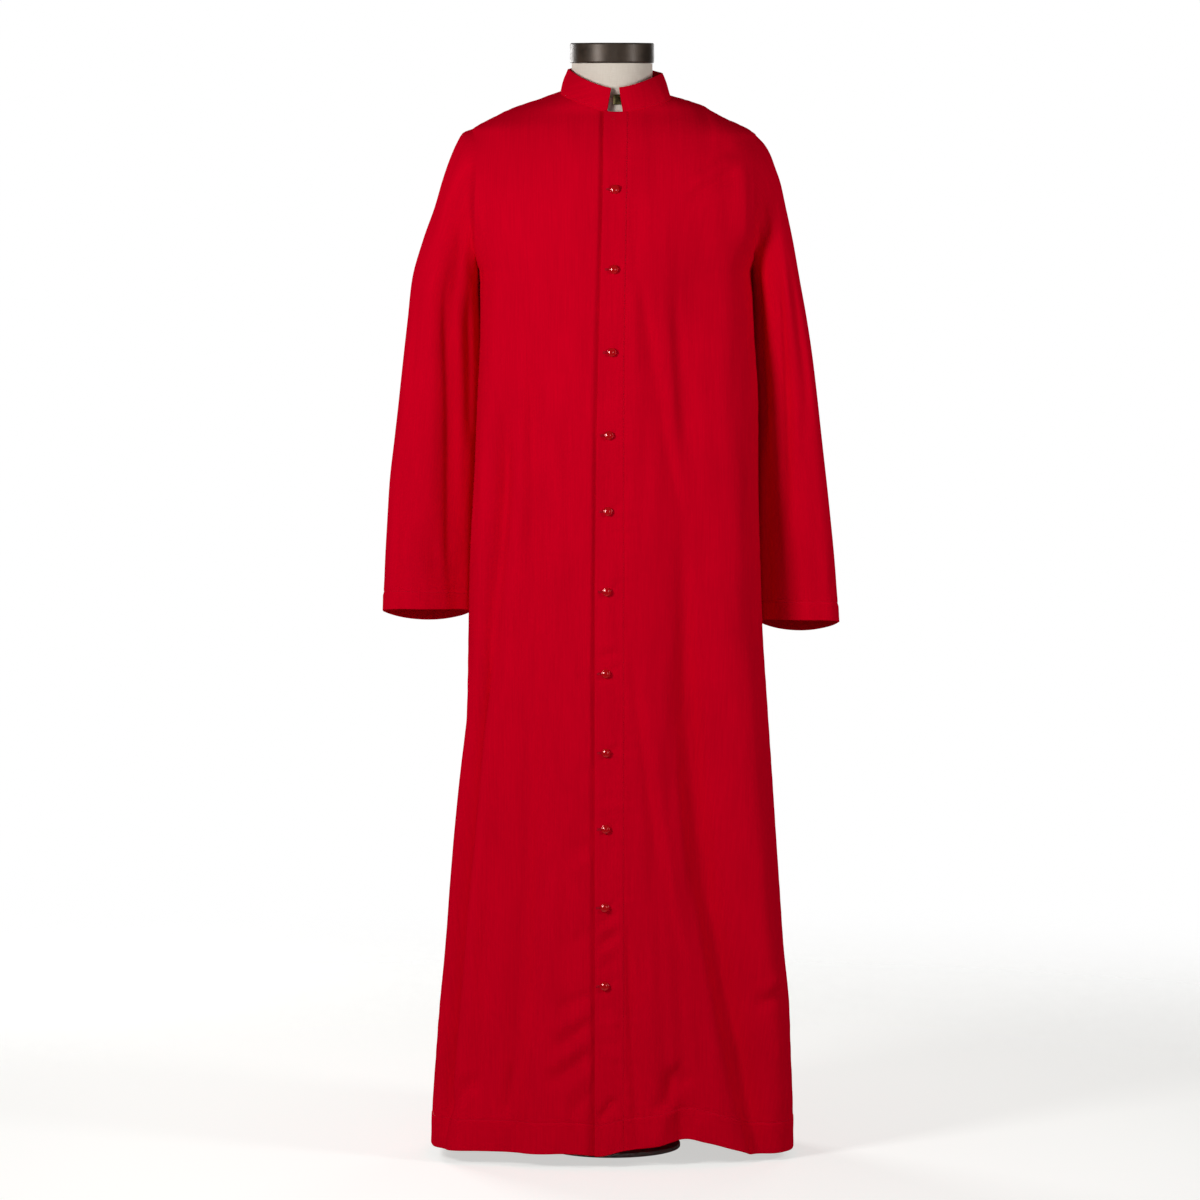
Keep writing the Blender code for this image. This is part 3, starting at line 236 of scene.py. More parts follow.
# Creases of the back, in the same columns, the arc from centre back, + still to the wearer's left
BACK_CREASES = [
    (-20, 1330, -34, 1020, 4, 14, 18, 0, -3.2),
    (26, 1310, 40, 960, -4, 14, 18, 0, -3.6),
    (-70, 1290, -104, 900, -6, 14, 18, 0.1, -4.9),
    (78, 1280, 112, 880, 6, 14, 18, 0.1, -5.1),
    (-50, 1220, -66, 860, 3, 10, 14, 0, 3.2),
    (56, 1200, 74, 820, -3, 10, 14, 0, 3.6),
    (4, 1150, 6, 820, 3, 12, 16, 0, 2.7),
    (-128, 1190, -160, 760, -4, 10, 14, 0, -3.8),
    (136, 1200, 170, 740, 4, 10, 14, 0, -4.1),
    (-150, 980, -196, 100, 6, 12, 16, 0.2, -7.2),
    (152, 1000, 200, 80, -6, 12, 16, 0.2, -7.7),
    (-108, 820, -170, -50, 10, 10, 13, 0.3, -5.8),
    (118, 800, 182, -50, -10, 10, 13, 0.3, -6.2),
    (-12, 760, -24, -50, 6, 10, 14, 0.2, -7.7),
    (34, 700, 46, 120, -4, 9, 12, 0, -4.1),
    (-46, 640, -72, 80, 6, 10, 14, 0, 4.3),
    (70, 620, 94, 60, -4, 10, 14, 0, 4.3),
    (-216, 620, -252, -40, 4, 12, 16, 0.2, -6.6),
    (214, 660, 256, -40, -4, 12, 16, 0.2, -6.6),
    (-140, 300, -120, 40, 3, 10, 14, 0, -3.8),
    (150, 280, 130, 30, -3, 10, 14, 0, -3.6),
    (-160, 1330, -110, 1390, 4, 10, 12, 0, -3.6),
    (158, 1322, 108, 1384, -4, 10, 12, 0, -3.6),
    (-186, 1290, -150, 1200, 4, 12, 16, 0, -4.3),
    (188, 1280, 152, 1190, -4, 12, 16, 0, -4.3),
    (-168, 1260, -128, 1160, 3, 10, 14, 0, 3.1),
    (170, 1250, 130, 1150, -3, 10, 14, 0, 3.1),
    (-40, 1420, 36, 1424, 3, 8, 8, 0, -2.2),
    (-52, 1395, 50, 1398, -4, 10, 10, 0, 1.9),
    (100, 160, 60, 70, 3, 9, 12, 0, -4.3),
    (-60, 150, -94, 50, 3, 9, 12, 0, -4.1),
]

# Seeded unevenness of hanging cloth, broad and fine: shortest and longest wave across, the same along,
# number of waves, depth
UNEVEN = [
    (0.024, 0.075, 0.18, 0.80, 24, 0.28 * MM),
    (0.007, 0.020, 0.12, 0.50, 24, 0.045 * MM),
]

# The front's outer corners hang squarer than an ellipse: distance of each from its side seam, half width,
# and how far it stands forward at a height, in mm
CORNER_FROM_SEAM = 0.056
CORNER_HALF_WIDTH = 0.036
CORNER_FORWARD = np.array([
    (0, 7), (300, 12), (640, 10), (760, 3), (1120, 2), (1290, 0), (1500, 0),
]) * MM

# ---- sleeves ----------------------------------------------
# one row a ring below the armhole, in mm: outer x, outer z, inner x, inner z, half depth, centre y
SLEEVE_ROWS = {
    RIGHT: MM * np.array([
        (203, 1404.5, 182.8, 1212, 66, 0),
        (212, 1390, 181.2, 1205, 66, 0),
        (221.8, 1367.5, 180.5, 1194.5, 65.5, 2),
        (231.5, 1340.1, 180, 1181, 65, 5),
        (242.5, 1304, 179.8, 1164, 64, 7),
        (259.5, 1258, 179.5, 1143, 62, 9),
        (275, 1203.1, 179.5, 1116, 60, 11),
        (281, 1148.2, 180, 1083, 58, 12),
        (286.8, 1095, 181, 1044, 56, 12),
        (293.1, 1038.2, 182.5, 1000, 53.5, 12),
        (299.5, 983, 184.5, 955, 51, 12),
        (305.9, 927.9, 187.5, 908, 48, 12),
        (309.5, 873, 190.5, 860, 45, 11),
        (313.1, 817.4, 193, 808, 42, 10),
        (316.1, 751.5, 194.5, 751, 39, 10),
    ]),
    LEFT: MM * np.array([
        (208.5, 1389, 192.5, 1212, 66, 0),
        (216, 1376.5, 190.2, 1204.5, 66, 0),
        (223, 1357.5, 189.5, 1194.5, 65.5, -2),
        (230, 1337, 189, 1181, 65, -4),
        (237, 1305, 188.8, 1164, 64, -7),
        (247, 1258, 189, 1143, 62.5, -10),
        (256.8, 1203.1, 189.6, 1116, 61, -13),
        (266.6, 1148.2, 191, 1083, 59, -15),
        (275, 1093, 194, 1044, 57, -16),
        (282, 1038.2, 195.5, 1000, 55, -17),
        (288.5, 983, 196.5, 955, 52, -18),
        (294.8, 927.9, 197.5, 908, 49, -18),
        (300.6, 873, 199, 860, 46, -18),
        (306.2, 817.4, 201, 808, 43, -18),
        (312, 738, 203.2, 737.5, 39.5, -18),
    ]),
}
# the sleeve hangs flatter than an ellipse and turned inwards: power of its section, and how far its inner
# line lies behind its outer line, both by ring
SLEEVE_ROUND = (1.2, 1.1, 0.95, 0.85, 0.8, 0.76, 0.74, 0.72, 0.7, 0.68, 0.66, 0.65, 0.64, 0.64, 0.64, 0.64)
SLEEVE_BACK = {
    RIGHT: MM * np.array([0, 16, 22, 26, 27, 25, 21, 17, 13, 10, 8, 7, 6, 5, 5, 5]),
    LEFT: MM * np.array([0, 16, 24, 33, 39, 42, 43, 43, 42, 40, 38, 36, 34, 31, 28, 28]),
}
CUFF_BACK_DROP = 0.021        # the back of the cuff hangs this much lower than the front
CUFF_DROP_STARTS_AT = 9       # the ring where it starts to
SLEEVE_BLEND = (1.0, 0.72, 0.40, 0.16, 0.0)
SLEEVE_CIRCUMFERENCE = 0.44   # round the middle of the sleeve, for the cloth's own coordinates

# The large sleeve folds: angle round the sleeve at top and bottom (0 outer, 90 front, 180 inner), first and
# last ring, half width in degrees, depth
SLEEVE_FOLDS = {
    RIGHT: [(86, 132, 4, 14, 15, -0.0050), (275, 245, 3, 13, 20, -0.006), (40, 52, 7, 15, 16, -0.003)],
    LEFT: [(126, 140, 4, 14, 14, -0.0040), (265, 285, 3, 13, 20, -0.006), (45, 60, 6, 15, 16, -0.002)],
}

# Sleeve creases, in mm: arc round the sleeve from its outer line (+ to the front) and distance below the
# armhole where it starts, the same where it ends, bow, half width at start and end, lean, depth
SLEEVE_CREASES = {
    RIGHT: [
        (92, 100, 150, 560, -10, 9, 12, 0.2, -3.8),
        (70, 130, 112, 520, -8, 12, 14, 0, 1.9),
        (130, 110, 162, 400, -6, 8, 10, 0, 2.2),
        (150, 80, 176, 300, -4, 9, 12, 0, -3.6),
        (36, 60, 50, 420, 4, 14, 18, 0, -1.2),
        (60, 10, 48, 140, 3, 12, 14, 0, 1),
        (70, 530, 128, 480, 4, 8, 11, 0, -1.1),
        (60, 565, 120, 520, 4, 8, 11, 0, 1),
        (52, 590, 128, 560, 3, 7, 10, 0, -1),
        (20, 300, 24, 520, 2, 12, 14, 0, 0.7),
        (-60, 100, -104, 460, 6, 12, 16, 0.2, -3.1),
        (-120, 160, -86, 420, 4, 11, 14, 0, -2.6),
        (-86, 220, -60, 520, 4, 12, 14, 0, 1.7),
        (-30, 40, -40, 260, 4, 12, 16, 0, -1.2),
        (-150, 300, -110, 560, 3, 10, 14, 0, -1.9),
    ],
    LEFT: [
        (82, 110, 124, 460, -4, 8, 11, 0.2, -3.6),
        (66, 100, 92, 420, -2, 10, 13, 0, 2.2),
        (106, 60, 150, 360, -4, 10, 13, 0, 1.9),
        (140, 30, 170, 300, -4, 10, 14, 0, -3.6),
        (52, 150, 62, 400, 3, 10, 13, 0, -1.7),
        (30, 60, 40, 460, 4, 14, 18, 0, 1.1),
        (60, 2, 74, 100, 3, 10, 13, 0, -1.4),
        (84, 4, 90, 120, 2, 10, 13, 0, 1.2),
        (20, 560, 40, 640, 2, 12, 14, 0, -1.4),
        (100, 520, 140, 640, 3, 10, 13, 0, 0.8),
        (-64, 90, -100, 440, 6, 12, 16, 0.2, -3),
        (-126, 150, -90, 440, 4, 11, 14, 0, -2.8),
        (-90, 200, -66, 500, 4, 12, 14, 0, 1.6),
        (-34, 50, -44, 280, 4, 12, 16, 0, -1.2),
        (-150, 340, -116, 580, 3, 10, 14, 0, -1.8),
    ],
}

# ---- collar, buttons, hook, form --------------------------
COLLAR_SEAM_LIFT = -0.4 * MM
COLLAR_TOP_Z = {"front": 1.4656, "back": 1.5000, RIGHT: 1.4918, LEFT: 1.4863}
COLLAR_TOP_HALF_WIDTH = {RIGHT: 0.0595, LEFT: 0.0683}
COLLAR_TOP_DEPTH = {"front": 0.0720, "back": 0.0610}
COLLAR_TOP_POWER = {RIGHT: 1.3, LEFT: 1.6}
COLLAR_END_X = {RIGHT: (-0.0069, -0.0014), LEFT: (0.0137, 0.0096)}   # bottom, top
COLLAR_NECK_RADIUS = 0.075    # front radius of the neck seam, turns an end's x into an angle
COLLAR_BULGE = 0.8 * MM
COLLAR_LENGTH, COLLAR_HEIGHT = 0.46, 0.036
COLLAR_STITCH_LINE = 2.6 * MM # the line of stitching above the neck seam

# the buttons' nodes, and how far each one's shank has let it tip: sideways and up, in degrees
BUTTON_TIPS = [(-9, -5), (-9, 4), (-8, 4), (-8, 6), (-9, 8), (-11, 5), (-9, 9), (-12, 7), (-10, 10),
               (-11, 10), (-10, 11)]
# radius as a share of the button's, height above the band in mm: shank, rim, bead, groove, dome
BUTTON_PROFILE = [
    (0.22, -0.3), (0.22, 1.0), (0.80, 1.15), (0.95, 1.45), (1.00, 2.10), (0.98, 2.75), (0.93, 3.15),
    (0.88, 3.20), (0.84, 3.32), (0.70, 3.70), (0.52, 4.02), (0.34, 4.24), (0.16, 4.34), (0.04, 4.36),
]
BUTTONHOLE_LENGTH = 15.0 * MM

HOOK_HEIGHT = 14.0 * MM
HOOK_CENTRE_Z = 1.4500
HOOK_LEAN = 0.25              # follows the slope of the collar's inner face
HOOK_WALL = 1.0 * MM
HOOK_TIP_NARROWS = 0.55       # share of its height that the curled tip loses
# centre line of the hook seen from above, x and y
HOOK_PATH = [
    (0.0215, -0.0715), (0.0165, -0.0727), (0.0120, -0.0735), (0.0065, -0.0738), (0.0026, -0.0744),
    (0.0012, -0.0758), (0.0022, -0.0775), (0.0046, -0.0782), (0.0072, -0.0778),
]

# in mm: z, half width, front depth, back depth, centre y
FORM_TORSO = MM * np.array([
    (700, 154, 104, 104, -4),
    (760, 168, 113, 112, -4),
    (840, 170, 114, 110, -4),
    (930, 160, 110, 106, -3),
    (1030, 150, 106, 102, -2),
    (1120, 153, 112, 108, 0),
    (1215, 162, 122, 118, 0),
    (1290, 168, 122, 118, 0),
    (1350, 172, 111, 109, 0),
    (1385, 175, 98, 98, 0),
])
# skin height, share of the skin's width, clearance under the skin at the sides, more front and back
FORM_SHOULDER = [
    (1.4000, 0.925, 0.0034, 0.0060),
    (1.4180, 0.975, 0.0034, 0.0062),
    (1.4270, 0.982, 0.0034, 0.0064),
    (1.4360, 0.978, 0.0034, 0.0060),
    (1.4445, 0.966, 0.0036, 0.0054),
    (1.4520, 0.950, 0.0041, 0.0048),
    (1.4565, 0.925, 0.0048, 0.0046),
]
FORM_NECK = MM * np.array([
    (1464, 60.5, 63, 57, -3),
    (1472, 56.2, 60, 55, -4),
    (1485, 55.3, 57, 54.5, -4),
    (1499.3, 55.2, 55.5, 54.5, -4),
])
FORM_TORSO_POWER = 2.3

# ---- sewing -----------------------------------------------
STITCH_SHARE = 0.72           # a stitch's length as a share of its spacing
CALM_AT_SIDE = 18 * MM        # creases fade out this far from a side seam
CALM_AT_TOP = 14 * MM         # and this far from the shoulder and neck seams
CALM_AT_ARMHOLE = 16 * MM     # and, on the sleeves, from the armhole
# seeds of the random waves
SEEDS = {
    "front": 11, "back": 12, "hem": 21, "band hem": 23, "band seam": 31, "sleeve": 40, "armhole": 50,
    "cuff": 60, "collar": 71, "collar seam": 72,
}

# ---- the view ---------------------------------------------
CAMERA_AT = (-0.01656, -8.0, 1.44)
CAMERA_TO = (-0.01656, 0.0, 0.762)
CAMERA_LENS = 174.54          # mm on a 36 mm sensor, for a square frame


# ---- numbers ----------------------------------------------
def smooth_table(knots, values, where):
    """Monotone cubic through a table of values at knots: no overshoot between its rows."""
    knots = np.asarray(knots, float)
    values = np.asarray(values, float)
    where = np.clip(np.asarray(where, float), knots[0], knots[-1])
    step = np.diff(knots)
    slope = np.diff(values) / step
    same_sign = slope[:-1] * slope[1:] > 0
    weight_a = 2 * step[1:] + step[:-1]
    weight_b = step[1:] + 2 * step[:-1]
    safe_a = np.where(same_sign, slope[:-1], 1.0)
    safe_b = np.where(same_sign, slope[1:], 1.0)
    mean = (weight_a + weight_b) / (weight_a / safe_a + weight_b / safe_b)
    tangent = np.concatenate([slope[:1], np.where(same_sign, mean, 0.0), slope[-1:]])
    cell = np.clip(np.searchsorted(knots, where, side="right") - 1, 0, len(step) - 1)
    width = step[cell]
    t = (where - knots[cell]) / width
    low = (2 * t**3 - 3 * t**2 + 1) * values[cell] + (t**3 - 2 * t**2 + t) * width * tangent[cell]
    high = (-2 * t**3 + 3 * t**2) * values[cell + 1] + (t**3 - t**2) * width * tangent[cell + 1]
    return low + high


def smooth_rows(values, where):
    """Rows of an array read between its whole row numbers, each column through smooth_table."""
    flat = np.asarray(values, float).reshape(len(values), -1)
    knots = np.arange(len(values))
    return np.stack([smooth_table(knots, column, where) for column in flat.T], axis=-1)


def ease(t):
    """0 to 1 with level ends: 3 t squared less 2 t cubed."""
    t = np.clip(t, 0.0, 1.0)
    return t * t * (3 - 2 * t)


def unit(vectors):
    """The vectors at length one."""
    return vectors / np.linalg.norm(vectors, axis=-1, keepdims=True)


def run_along(points, axis):
    """Distance along a grid's lines from their first point."""
    step = np.linalg.norm(np.diff(points, axis=axis), axis=-1)
    start = np.zeros_like(np.take(step, [0], axis=axis))
    return np.concatenate([start, np.cumsum(step, axis=axis)], axis=axis)


def graded(length, step, first=(), last=()):
    """Shares from 0 to 1 of a length: the given distances from each end, and even steps between them."""
    head = [0.0, *first]
    tail = [length - d for d in reversed(last)] + [length]
    count = max(2, round((tail[0] - head[-1]) / step))
    middle = np.linspace(head[-1], tail[0], count + 1)[1:-1]
    return np.concatenate([head, middle, tail]) / length


# ---- the skin ---------------------------------------------
def power_mean_radius(theta, half_width, depth, power):
    """Radius of a squared ellipse: its x share and y share, each to the power, add up to 1."""
    across = (np.abs(np.sin(theta)) / half_width) ** power
    along = (np.abs(np.cos(theta)) / depth) ** power
    return (across + along) ** (-1.0 / power)


def armhole_at(fraction, side, face):
    """x and y of the armhole seam at a fraction of its height: a bow in depth over a table of widths."""
    x = smooth_table(ARMHOLE[:, 0], ARMHOLE[:, 1 if side < 0 else 2], fraction)
    bow = np.clip(4 * fraction * (1 - fraction), 0, 1) ** (ARMHOLE_ROUND / 2)
    return x, ARMHOLE_DEPTH[face] * bow * (-1 if face == "front" else 1)


def ring_sizes(theta, z):
    """Half width, depth, centre y and power of the skin's ring for each point.

    Beside an armhole the half width is the one whose squared ellipse passes through the armhole seam."""
    theta = np.asarray(theta, float)
    z = np.asarray(z, float)
    centre = smooth_table(RINGS[:, 0], RINGS[:, 5], z)
    front = centre - smooth_table(RINGS[:, 0], RINGS[:, 3], z)
    back = smooth_table(RINGS[:, 0], RINGS[:, 4], z) - centre
    power = smooth_table(RINGS[:, 0], RINGS[:, 6], z)
    is_front = np.cos(theta) >= 0
    depth = np.where(is_front, front, back)
    half = np.zeros(np.broadcast(theta, z).shape)
    for side, column in ((RIGHT, 1), (LEFT, 2)):
        plain = smooth_table(RINGS[:, 0], RINGS[:, column], z)
        fraction = np.clip((z - UNDERARM_Z) / (SHOULDER_TIP_Z[side] - UNDERARM_Z), 0, 1)
        inside = (z > UNDERARM_Z) & (z < SHOULDER_TIP_Z[side])
        on_side = np.sin(theta) >= 0 if side > 0 else np.sin(theta) < 0
        x, y_front = armhole_at(fraction, side, "front")
        y_back = armhole_at(fraction, side, "back")[1]
        share = np.clip(np.where(is_front, -y_front, y_back) / depth, 0, 0.95)
        through = x / (1 - share**power) ** (1 / power)
        half = np.where(on_side, np.where(inside, through, plain), half)
    return half, depth, centre, power


def fold_offset(theta, z, half, depth, power):
    """Sum of the large folds, each a bell across its width and eased in along its length."""
    total = np.zeros(np.shape(z))
    is_front = np.cos(theta) >= 0
    for face, *lengths in FOLDS:
        start, full, end, x_top, x_end, w_top, w_end, d_top, d_end = (length * MM for length in lengths)
        down = np.clip((start - z) / (start - end), 0, 1)
        x = x_top + (x_end - x_top) * down
        width = w_top + (w_end - w_top) * down
        height = (d_top + (d_end - d_top) * down) * ease((start - z) / (start - full))
        share = np.clip(np.abs(x) / half, 0, 0.985)
        y = depth * (1 - share**power) ** (1 / power)
        angle = np.arctan2(x, y) if face == "front" else np.pi - np.arctan2(x, y)
        turn = (theta - angle + np.pi) % (2 * np.pi) - np.pi
        across = turn * np.hypot(x, y) / width
        side_fade = ease(np.abs(np.cos(theta)) / FOLD_SIDE_FADE)
        bell = height * np.exp(-across**2) * side_fade
        total = total + np.where(is_front == (face == "front"), bell, 0.0)
    return total


def closing_x(z):
    """x of the closing edge at a height."""
    return np.interp(z, CLOSING[:, 0], CLOSING[:, 1])


def stitch_x(z):
    """x of the stitch line of band and left front at a height."""
    return np.interp(z, CLOSING[:, 0], CLOSING[:, 2])


def lift_over_underlap(x, z):
    """How far the left front stands off the skin: most at the closing edge, less at the stitch line, then
    eased to nothing."""
    stitch = stitch_x(z)
    tilt = BAND_TILT * np.clip((stitch - x) / (stitch - closing_x(z)), 0, 1)
    return (BAND_LIFT - BAND_TILT / 2) * (1 - ease((x - stitch) / (BAND_LIFT_FADES_AT - stitch))) + tilt


def skin(theta, z, with_folds=True, lifted=False):
    """Point of the garment's middle surface at angle theta and height z."""
    theta = np.asarray(theta, float)
    z = np.asarray(z, float)
    half, depth, centre, power = ring_sizes(theta, z)
    radius = power_mean_radius(theta, half, depth, power)
    if with_folds:
        radius = radius + fold_offset(theta, z, half, depth, power)
    point = np.stack([radius * np.sin(theta), centre - radius * np.cos(theta), z + 0 * theta], axis=-1)
    if lifted:
        point = point + lift_over_underlap(point[..., 0], z)[..., None] * skin_normal(theta, z)
    return point


def skin_normal(theta, z, lifted=False):
    """Outward normal: the cross product of small steps round and up the skin."""
    step = 2e-4
    around = skin(theta + step, z, lifted=lifted) - skin(theta - step, z, lifted=lifted)
    upward = skin(theta, z + step, lifted=lifted) - skin(theta, z - step, lifted=lifted)
    return unit(np.cross(around, upward))


def angle_at_x(x, z):
    """Angle on the front whose skin point has this x."""
    x = np.asarray(x, float)
    z = np.asarray(z, float)
    half, depth, _, power = ring_sizes(np.where(x >= 0, 0.3, -0.3) + 0 * z, z + 0 * x)
    y = depth * (1 - (np.abs(x) / half) ** power) ** (1 / power)
    return np.arctan2(x, y)


def theta_of(turn, side, face):
    """Angle round the garment for a turn from the centre line of one face towards one side."""
    return side * turn if face == "front" else side * (math.pi - turn)


def neck_z(theta):
    """Height of the neck seam: from its height in front or behind up to its height at the side."""
    theta = np.asarray(theta, float)
    on_left = np.sin(theta) >= 0
    side_z = np.where(on_left, NECK_SIDE_Z[LEFT], NECK_SIDE_Z[RIGHT])
    power = np.where(on_left, NECK_DROP_POWER[LEFT], NECK_DROP_POWER[RIGHT])
    rise = np.abs(np.sin(theta))
    front = NECK_FRONT_Z + (side_z - NECK_FRONT_Z) * rise**power
    back = NECK_BACK_Z + (side_z - NECK_BACK_Z) * rise**2
    return np.where(np.cos(theta) >= 0, front, back)


def hem_z(theta):
    """Height of the hem's edge at an angle."""
    return smooth_table(HEM[:, 0], HEM[:, 1], np.degrees((theta + np.pi) % (2 * np.pi) - np.pi))


def table_cell(distance, knots):
    """Number of the evenly spaced cell at a distance from the first knot, and the share of the way on."""
    place = np.clip(distance / (knots[1] - knots[0]), 0, len(knots) - 1.001)
    low = place.astype(int)
    return low, place - low


class Quarter:
    """Arc lengths along the level rings of one quarter of the skin, from its centre line out to its side."""

    def __init__(self, side, face):
        self.heights = np.linspace(0.0, 1.5, 376)
        self.turns = np.linspace(-0.35, math.pi / 2, 181)
        turn, z = np.meshgrid(self.turns, self.heights)
        run = run_along(skin(theta_of(turn, side, face), z, with_folds=False), axis=1)
        zero = np.array([np.interp(0.0, self.turns, row) for row in run])
        self.arcs = run - zero[:, None]

    def rings(self, z):
        """The table's arc lengths at each height, between its two nearest rings."""
        low, share = table_cell(z, self.heights)
        return self.arcs[low] * (1 - share[:, None]) + self.arcs[low + 1] * share[:, None]

    def arc(self, turn, z):
        """Arc length at a turn from the centre line and a height."""
        turn, z = np.broadcast_arrays(np.asarray(turn, float), np.asarray(z, float))
        rings = self.rings(z.ravel())
        low, share = table_cell(turn.ravel() - self.turns[0], self.turns)
        row = np.arange(len(low))
        return (rings[row, low] * (1 - share) + rings[row, low + 1] * share).reshape(turn.shape)

    def turn(self, arc, z):
        """Turn from the centre line at an arc length and a height."""
        arc, z = np.broadcast_arrays(np.asarray(arc, float), np.asarray(z, float))
        rings = self.rings(z.ravel())
        want = arc.ravel()
        low = np.clip((rings <= want[:, None]).sum(axis=1) - 1, 0, len(self.turns) - 2)
        row = np.arange(len(low))
        share = (want - rings[row, low]) / (rings[row, low + 1] - rings[row, low])
        return (self.turns[low] + share * (self.turns[1] - self.turns[0])).reshape(arc.shape)


QUARTERS = {(side, face): Quarter(side, face) for side in (RIGHT, LEFT) for face in FACES}


# ---- creases ----------------------------------------------
def crease_field(across, along, table):
    """Sum of a table's creases in a pair of cloth coordinates: each runs straight from its start to its end,
    bowed sideways by a parabola, is a bell across, steeper on one side by its lean, and fades in and out."""
    total = np.zeros(np.shape(across))
    for *lengths, lean, depth in table:
        a0, b0, a1, b1, bow, width0, width1 = (length * MM for length in lengths)
        run = math.hypot(a1 - a0, b1 - b0)
        t = ((across - a0) * (a1 - a0) + (along - b0) * (b1 - b0)) / run**2
        inside = np.clip(t, 0, 1)
        off = ((along - b0) * (a1 - a0) - (across - a0) * (b1 - b0)) / run
        off = (off - bow * 4 * inside * (1 - inside)) / (width0 + (width1 - width0) * inside)
        off = off * np.where(off > 0, 1 + lean, 1 - lean)
        total += depth * MM * np.exp(-off**2) * ease(t / CREASE_EASE) * ease((1 - t) / CREASE_EASE)
    return total


def unevenness(across, along, seed):
    """Sum of long seeded waves, closer together across the cloth than along it."""
    rng = np.random.default_rng(seed)
    total = np.zeros(np.shape(across))
    for short_a, long_a, short_b, long_b, count, depth in UNEVEN:
        for _ in range(count):
            wave_a = rng.uniform(short_a, long_a)
            wave_b = rng.uniform(short_b, long_b) * rng.choice((-1, 1))
            phase = rng.uniform(0, 2 * math.pi)
            wave = np.sin(2 * math.pi * (across / wave_a + along / wave_b) + phase)
            total += wave * depth / math.sqrt(count / 2)
    return total


def puckers(run, distance, reach, depth, seed, spacing):
    """Small gathers beside a seam: uneven waves along it, nothing on it, that die away from it."""
    rng = np.random.default_rng(seed)
    total = np.zeros(np.shape(run))
    for _ in range(7):
        wave = spacing * rng.uniform(0.6, 1.9)
        total += np.sin(2 * math.pi * run / wave + rng.uniform(0, 2 * math.pi))
    near = distance / reach
    return depth * total / 2 * near * np.exp(1 - near)


def seam_roll(distance, depth=0.9 * MM, reach=3.2 * MM):
    """The cloth turns in towards a seam: a quarter round of this depth and reach."""
    return -depth * (1 - np.clip(distance / reach, 0, 1)) ** 2


def groove(distance, depth=0.35 * MM, half_width=1.0 * MM):
    """A line of stitching sinks into the cloth."""
    return -depth * np.exp(-((distance / half_width) ** 2))


def rim(distance, half):
    """Share of the wall's half thickness that gives a free edge its round."""
    t = np.clip(1 - distance / half, 0, 1)
    return np.sqrt(np.clip(1 - t * t, 0.0025, 1))


# ---- meshes -----------------------------------------------
def new_object(name, vertices, faces, material, uv=None, sharp=50, ride=True):
    """A mesh object at the origin, shaded smooth but for edges sharper than an angle in degrees."""
    mesh = bpy.data.meshes.new(name)
    mesh.from_pydata(np.asarray(vertices, float).tolist(), [], [tuple(face) for face in faces])
    mesh.update()
    if uv is not None:
        mesh.uv_layers.new(name="cloth").data.foreach_set("uv", np.asarray(uv, np.float32).ravel())
    mesh.shade_smooth()
    mesh.set_sharp_from_angle(angle=math.radians(sharp))
    mesh.materials.append(material)
    body = bpy.data.objects.new(name, mesh)
    bpy.context.scene.collection.objects.link(body)
    if ride:
        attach(body, "root")
    return body


def grid_normal(middle, ring=False):
    """Normals of a grid of points: columns run round, rows run up, outwards is round cross up."""
    if ring:
        around = np.roll(middle, -1, axis=1) - np.roll(middle, 1, axis=1)
    else:
        around = np.gradient(middle, axis=1)
    return unit(np.cross(around, np.gradient(middle, axis=0)))


def cloth_wall(name, middle, half, uv, material, ring=False):
    """Closed cloth wall: outer points are the middle plus half the wall along the normal, inner points the
    middle less it, quads join each face's grid, and rim quads join the faces round every open edge."""
    normal = grid_normal(middle, ring)
    rows, columns = middle.shape[:2]
    outer = middle + normal * half[..., None]
    inner = middle - normal * half[..., None]
    index = np.arange(rows * columns).reshape(rows, columns)
    if ring:
        index = np.concatenate([index, index[:, :1]], axis=1)
    uv_index = np.arange(uv.shape[0] * uv.shape[1]).reshape(uv.shape[:2])
    count = rows * columns

    def quads(of):
        return [of[:-1, :-1], of[:-1, 1:], of[1:, 1:], of[1:, :-1]]

    def joined(corners):
        return np.stack([c.ravel() for c in corners], axis=1)

    faces = [joined(quads(index)), joined(quads(index)[::-1]) + count]
    uv_faces = [joined(quads(uv_index)), joined(quads(uv_index)[::-1])]
    rims = [(0, slice(None), 1), (-1, slice(None), -1)]
    if not ring:
        rims += [(slice(None), 0, -1), (slice(None), -1, 1)]
    for row, column, way in rims:
        line = index[row, column][::way]
        uv_line = uv_index[row, column][::way]
        faces.append(np.stack([line[1:], line[:-1], line[:-1] + count, line[1:] + count], axis=1))
        uv_faces.append(np.stack([uv_line[1:], uv_line[:-1], uv_line[:-1], uv_line[1:]], axis=1))
    uvs = uv.reshape(-1, 2)[np.concatenate(uv_faces).ravel()]
    vertices = np.vstack([outer.reshape(-1, 3), inner.reshape(-1, 3)])
    return new_object(name, vertices, np.concatenate(faces).tolist(), material, uvs), outer, normal


def closed_tube(name, rings, material, sharp=40, ride=True):
    """Closed solid through a stack of rings of points, with a flat face on each end."""
    rings = np.asarray(rings, float)
    rows, columns = rings.shape[:2]
    index = np.arange(rows * columns).reshape(rows, columns)
    after = np.roll(index, -1, axis=1)
    sides = np.stack([index[:-1].ravel(), after[:-1].ravel(), after[1:].ravel(), index[1:].ravel()], axis=1)
    faces = sides.tolist() + [index[0][::-1].tolist(), index[-1].tolist()]
    return new_object(name, rings.reshape(-1, 3), faces, material, sharp=sharp, ride=ride)


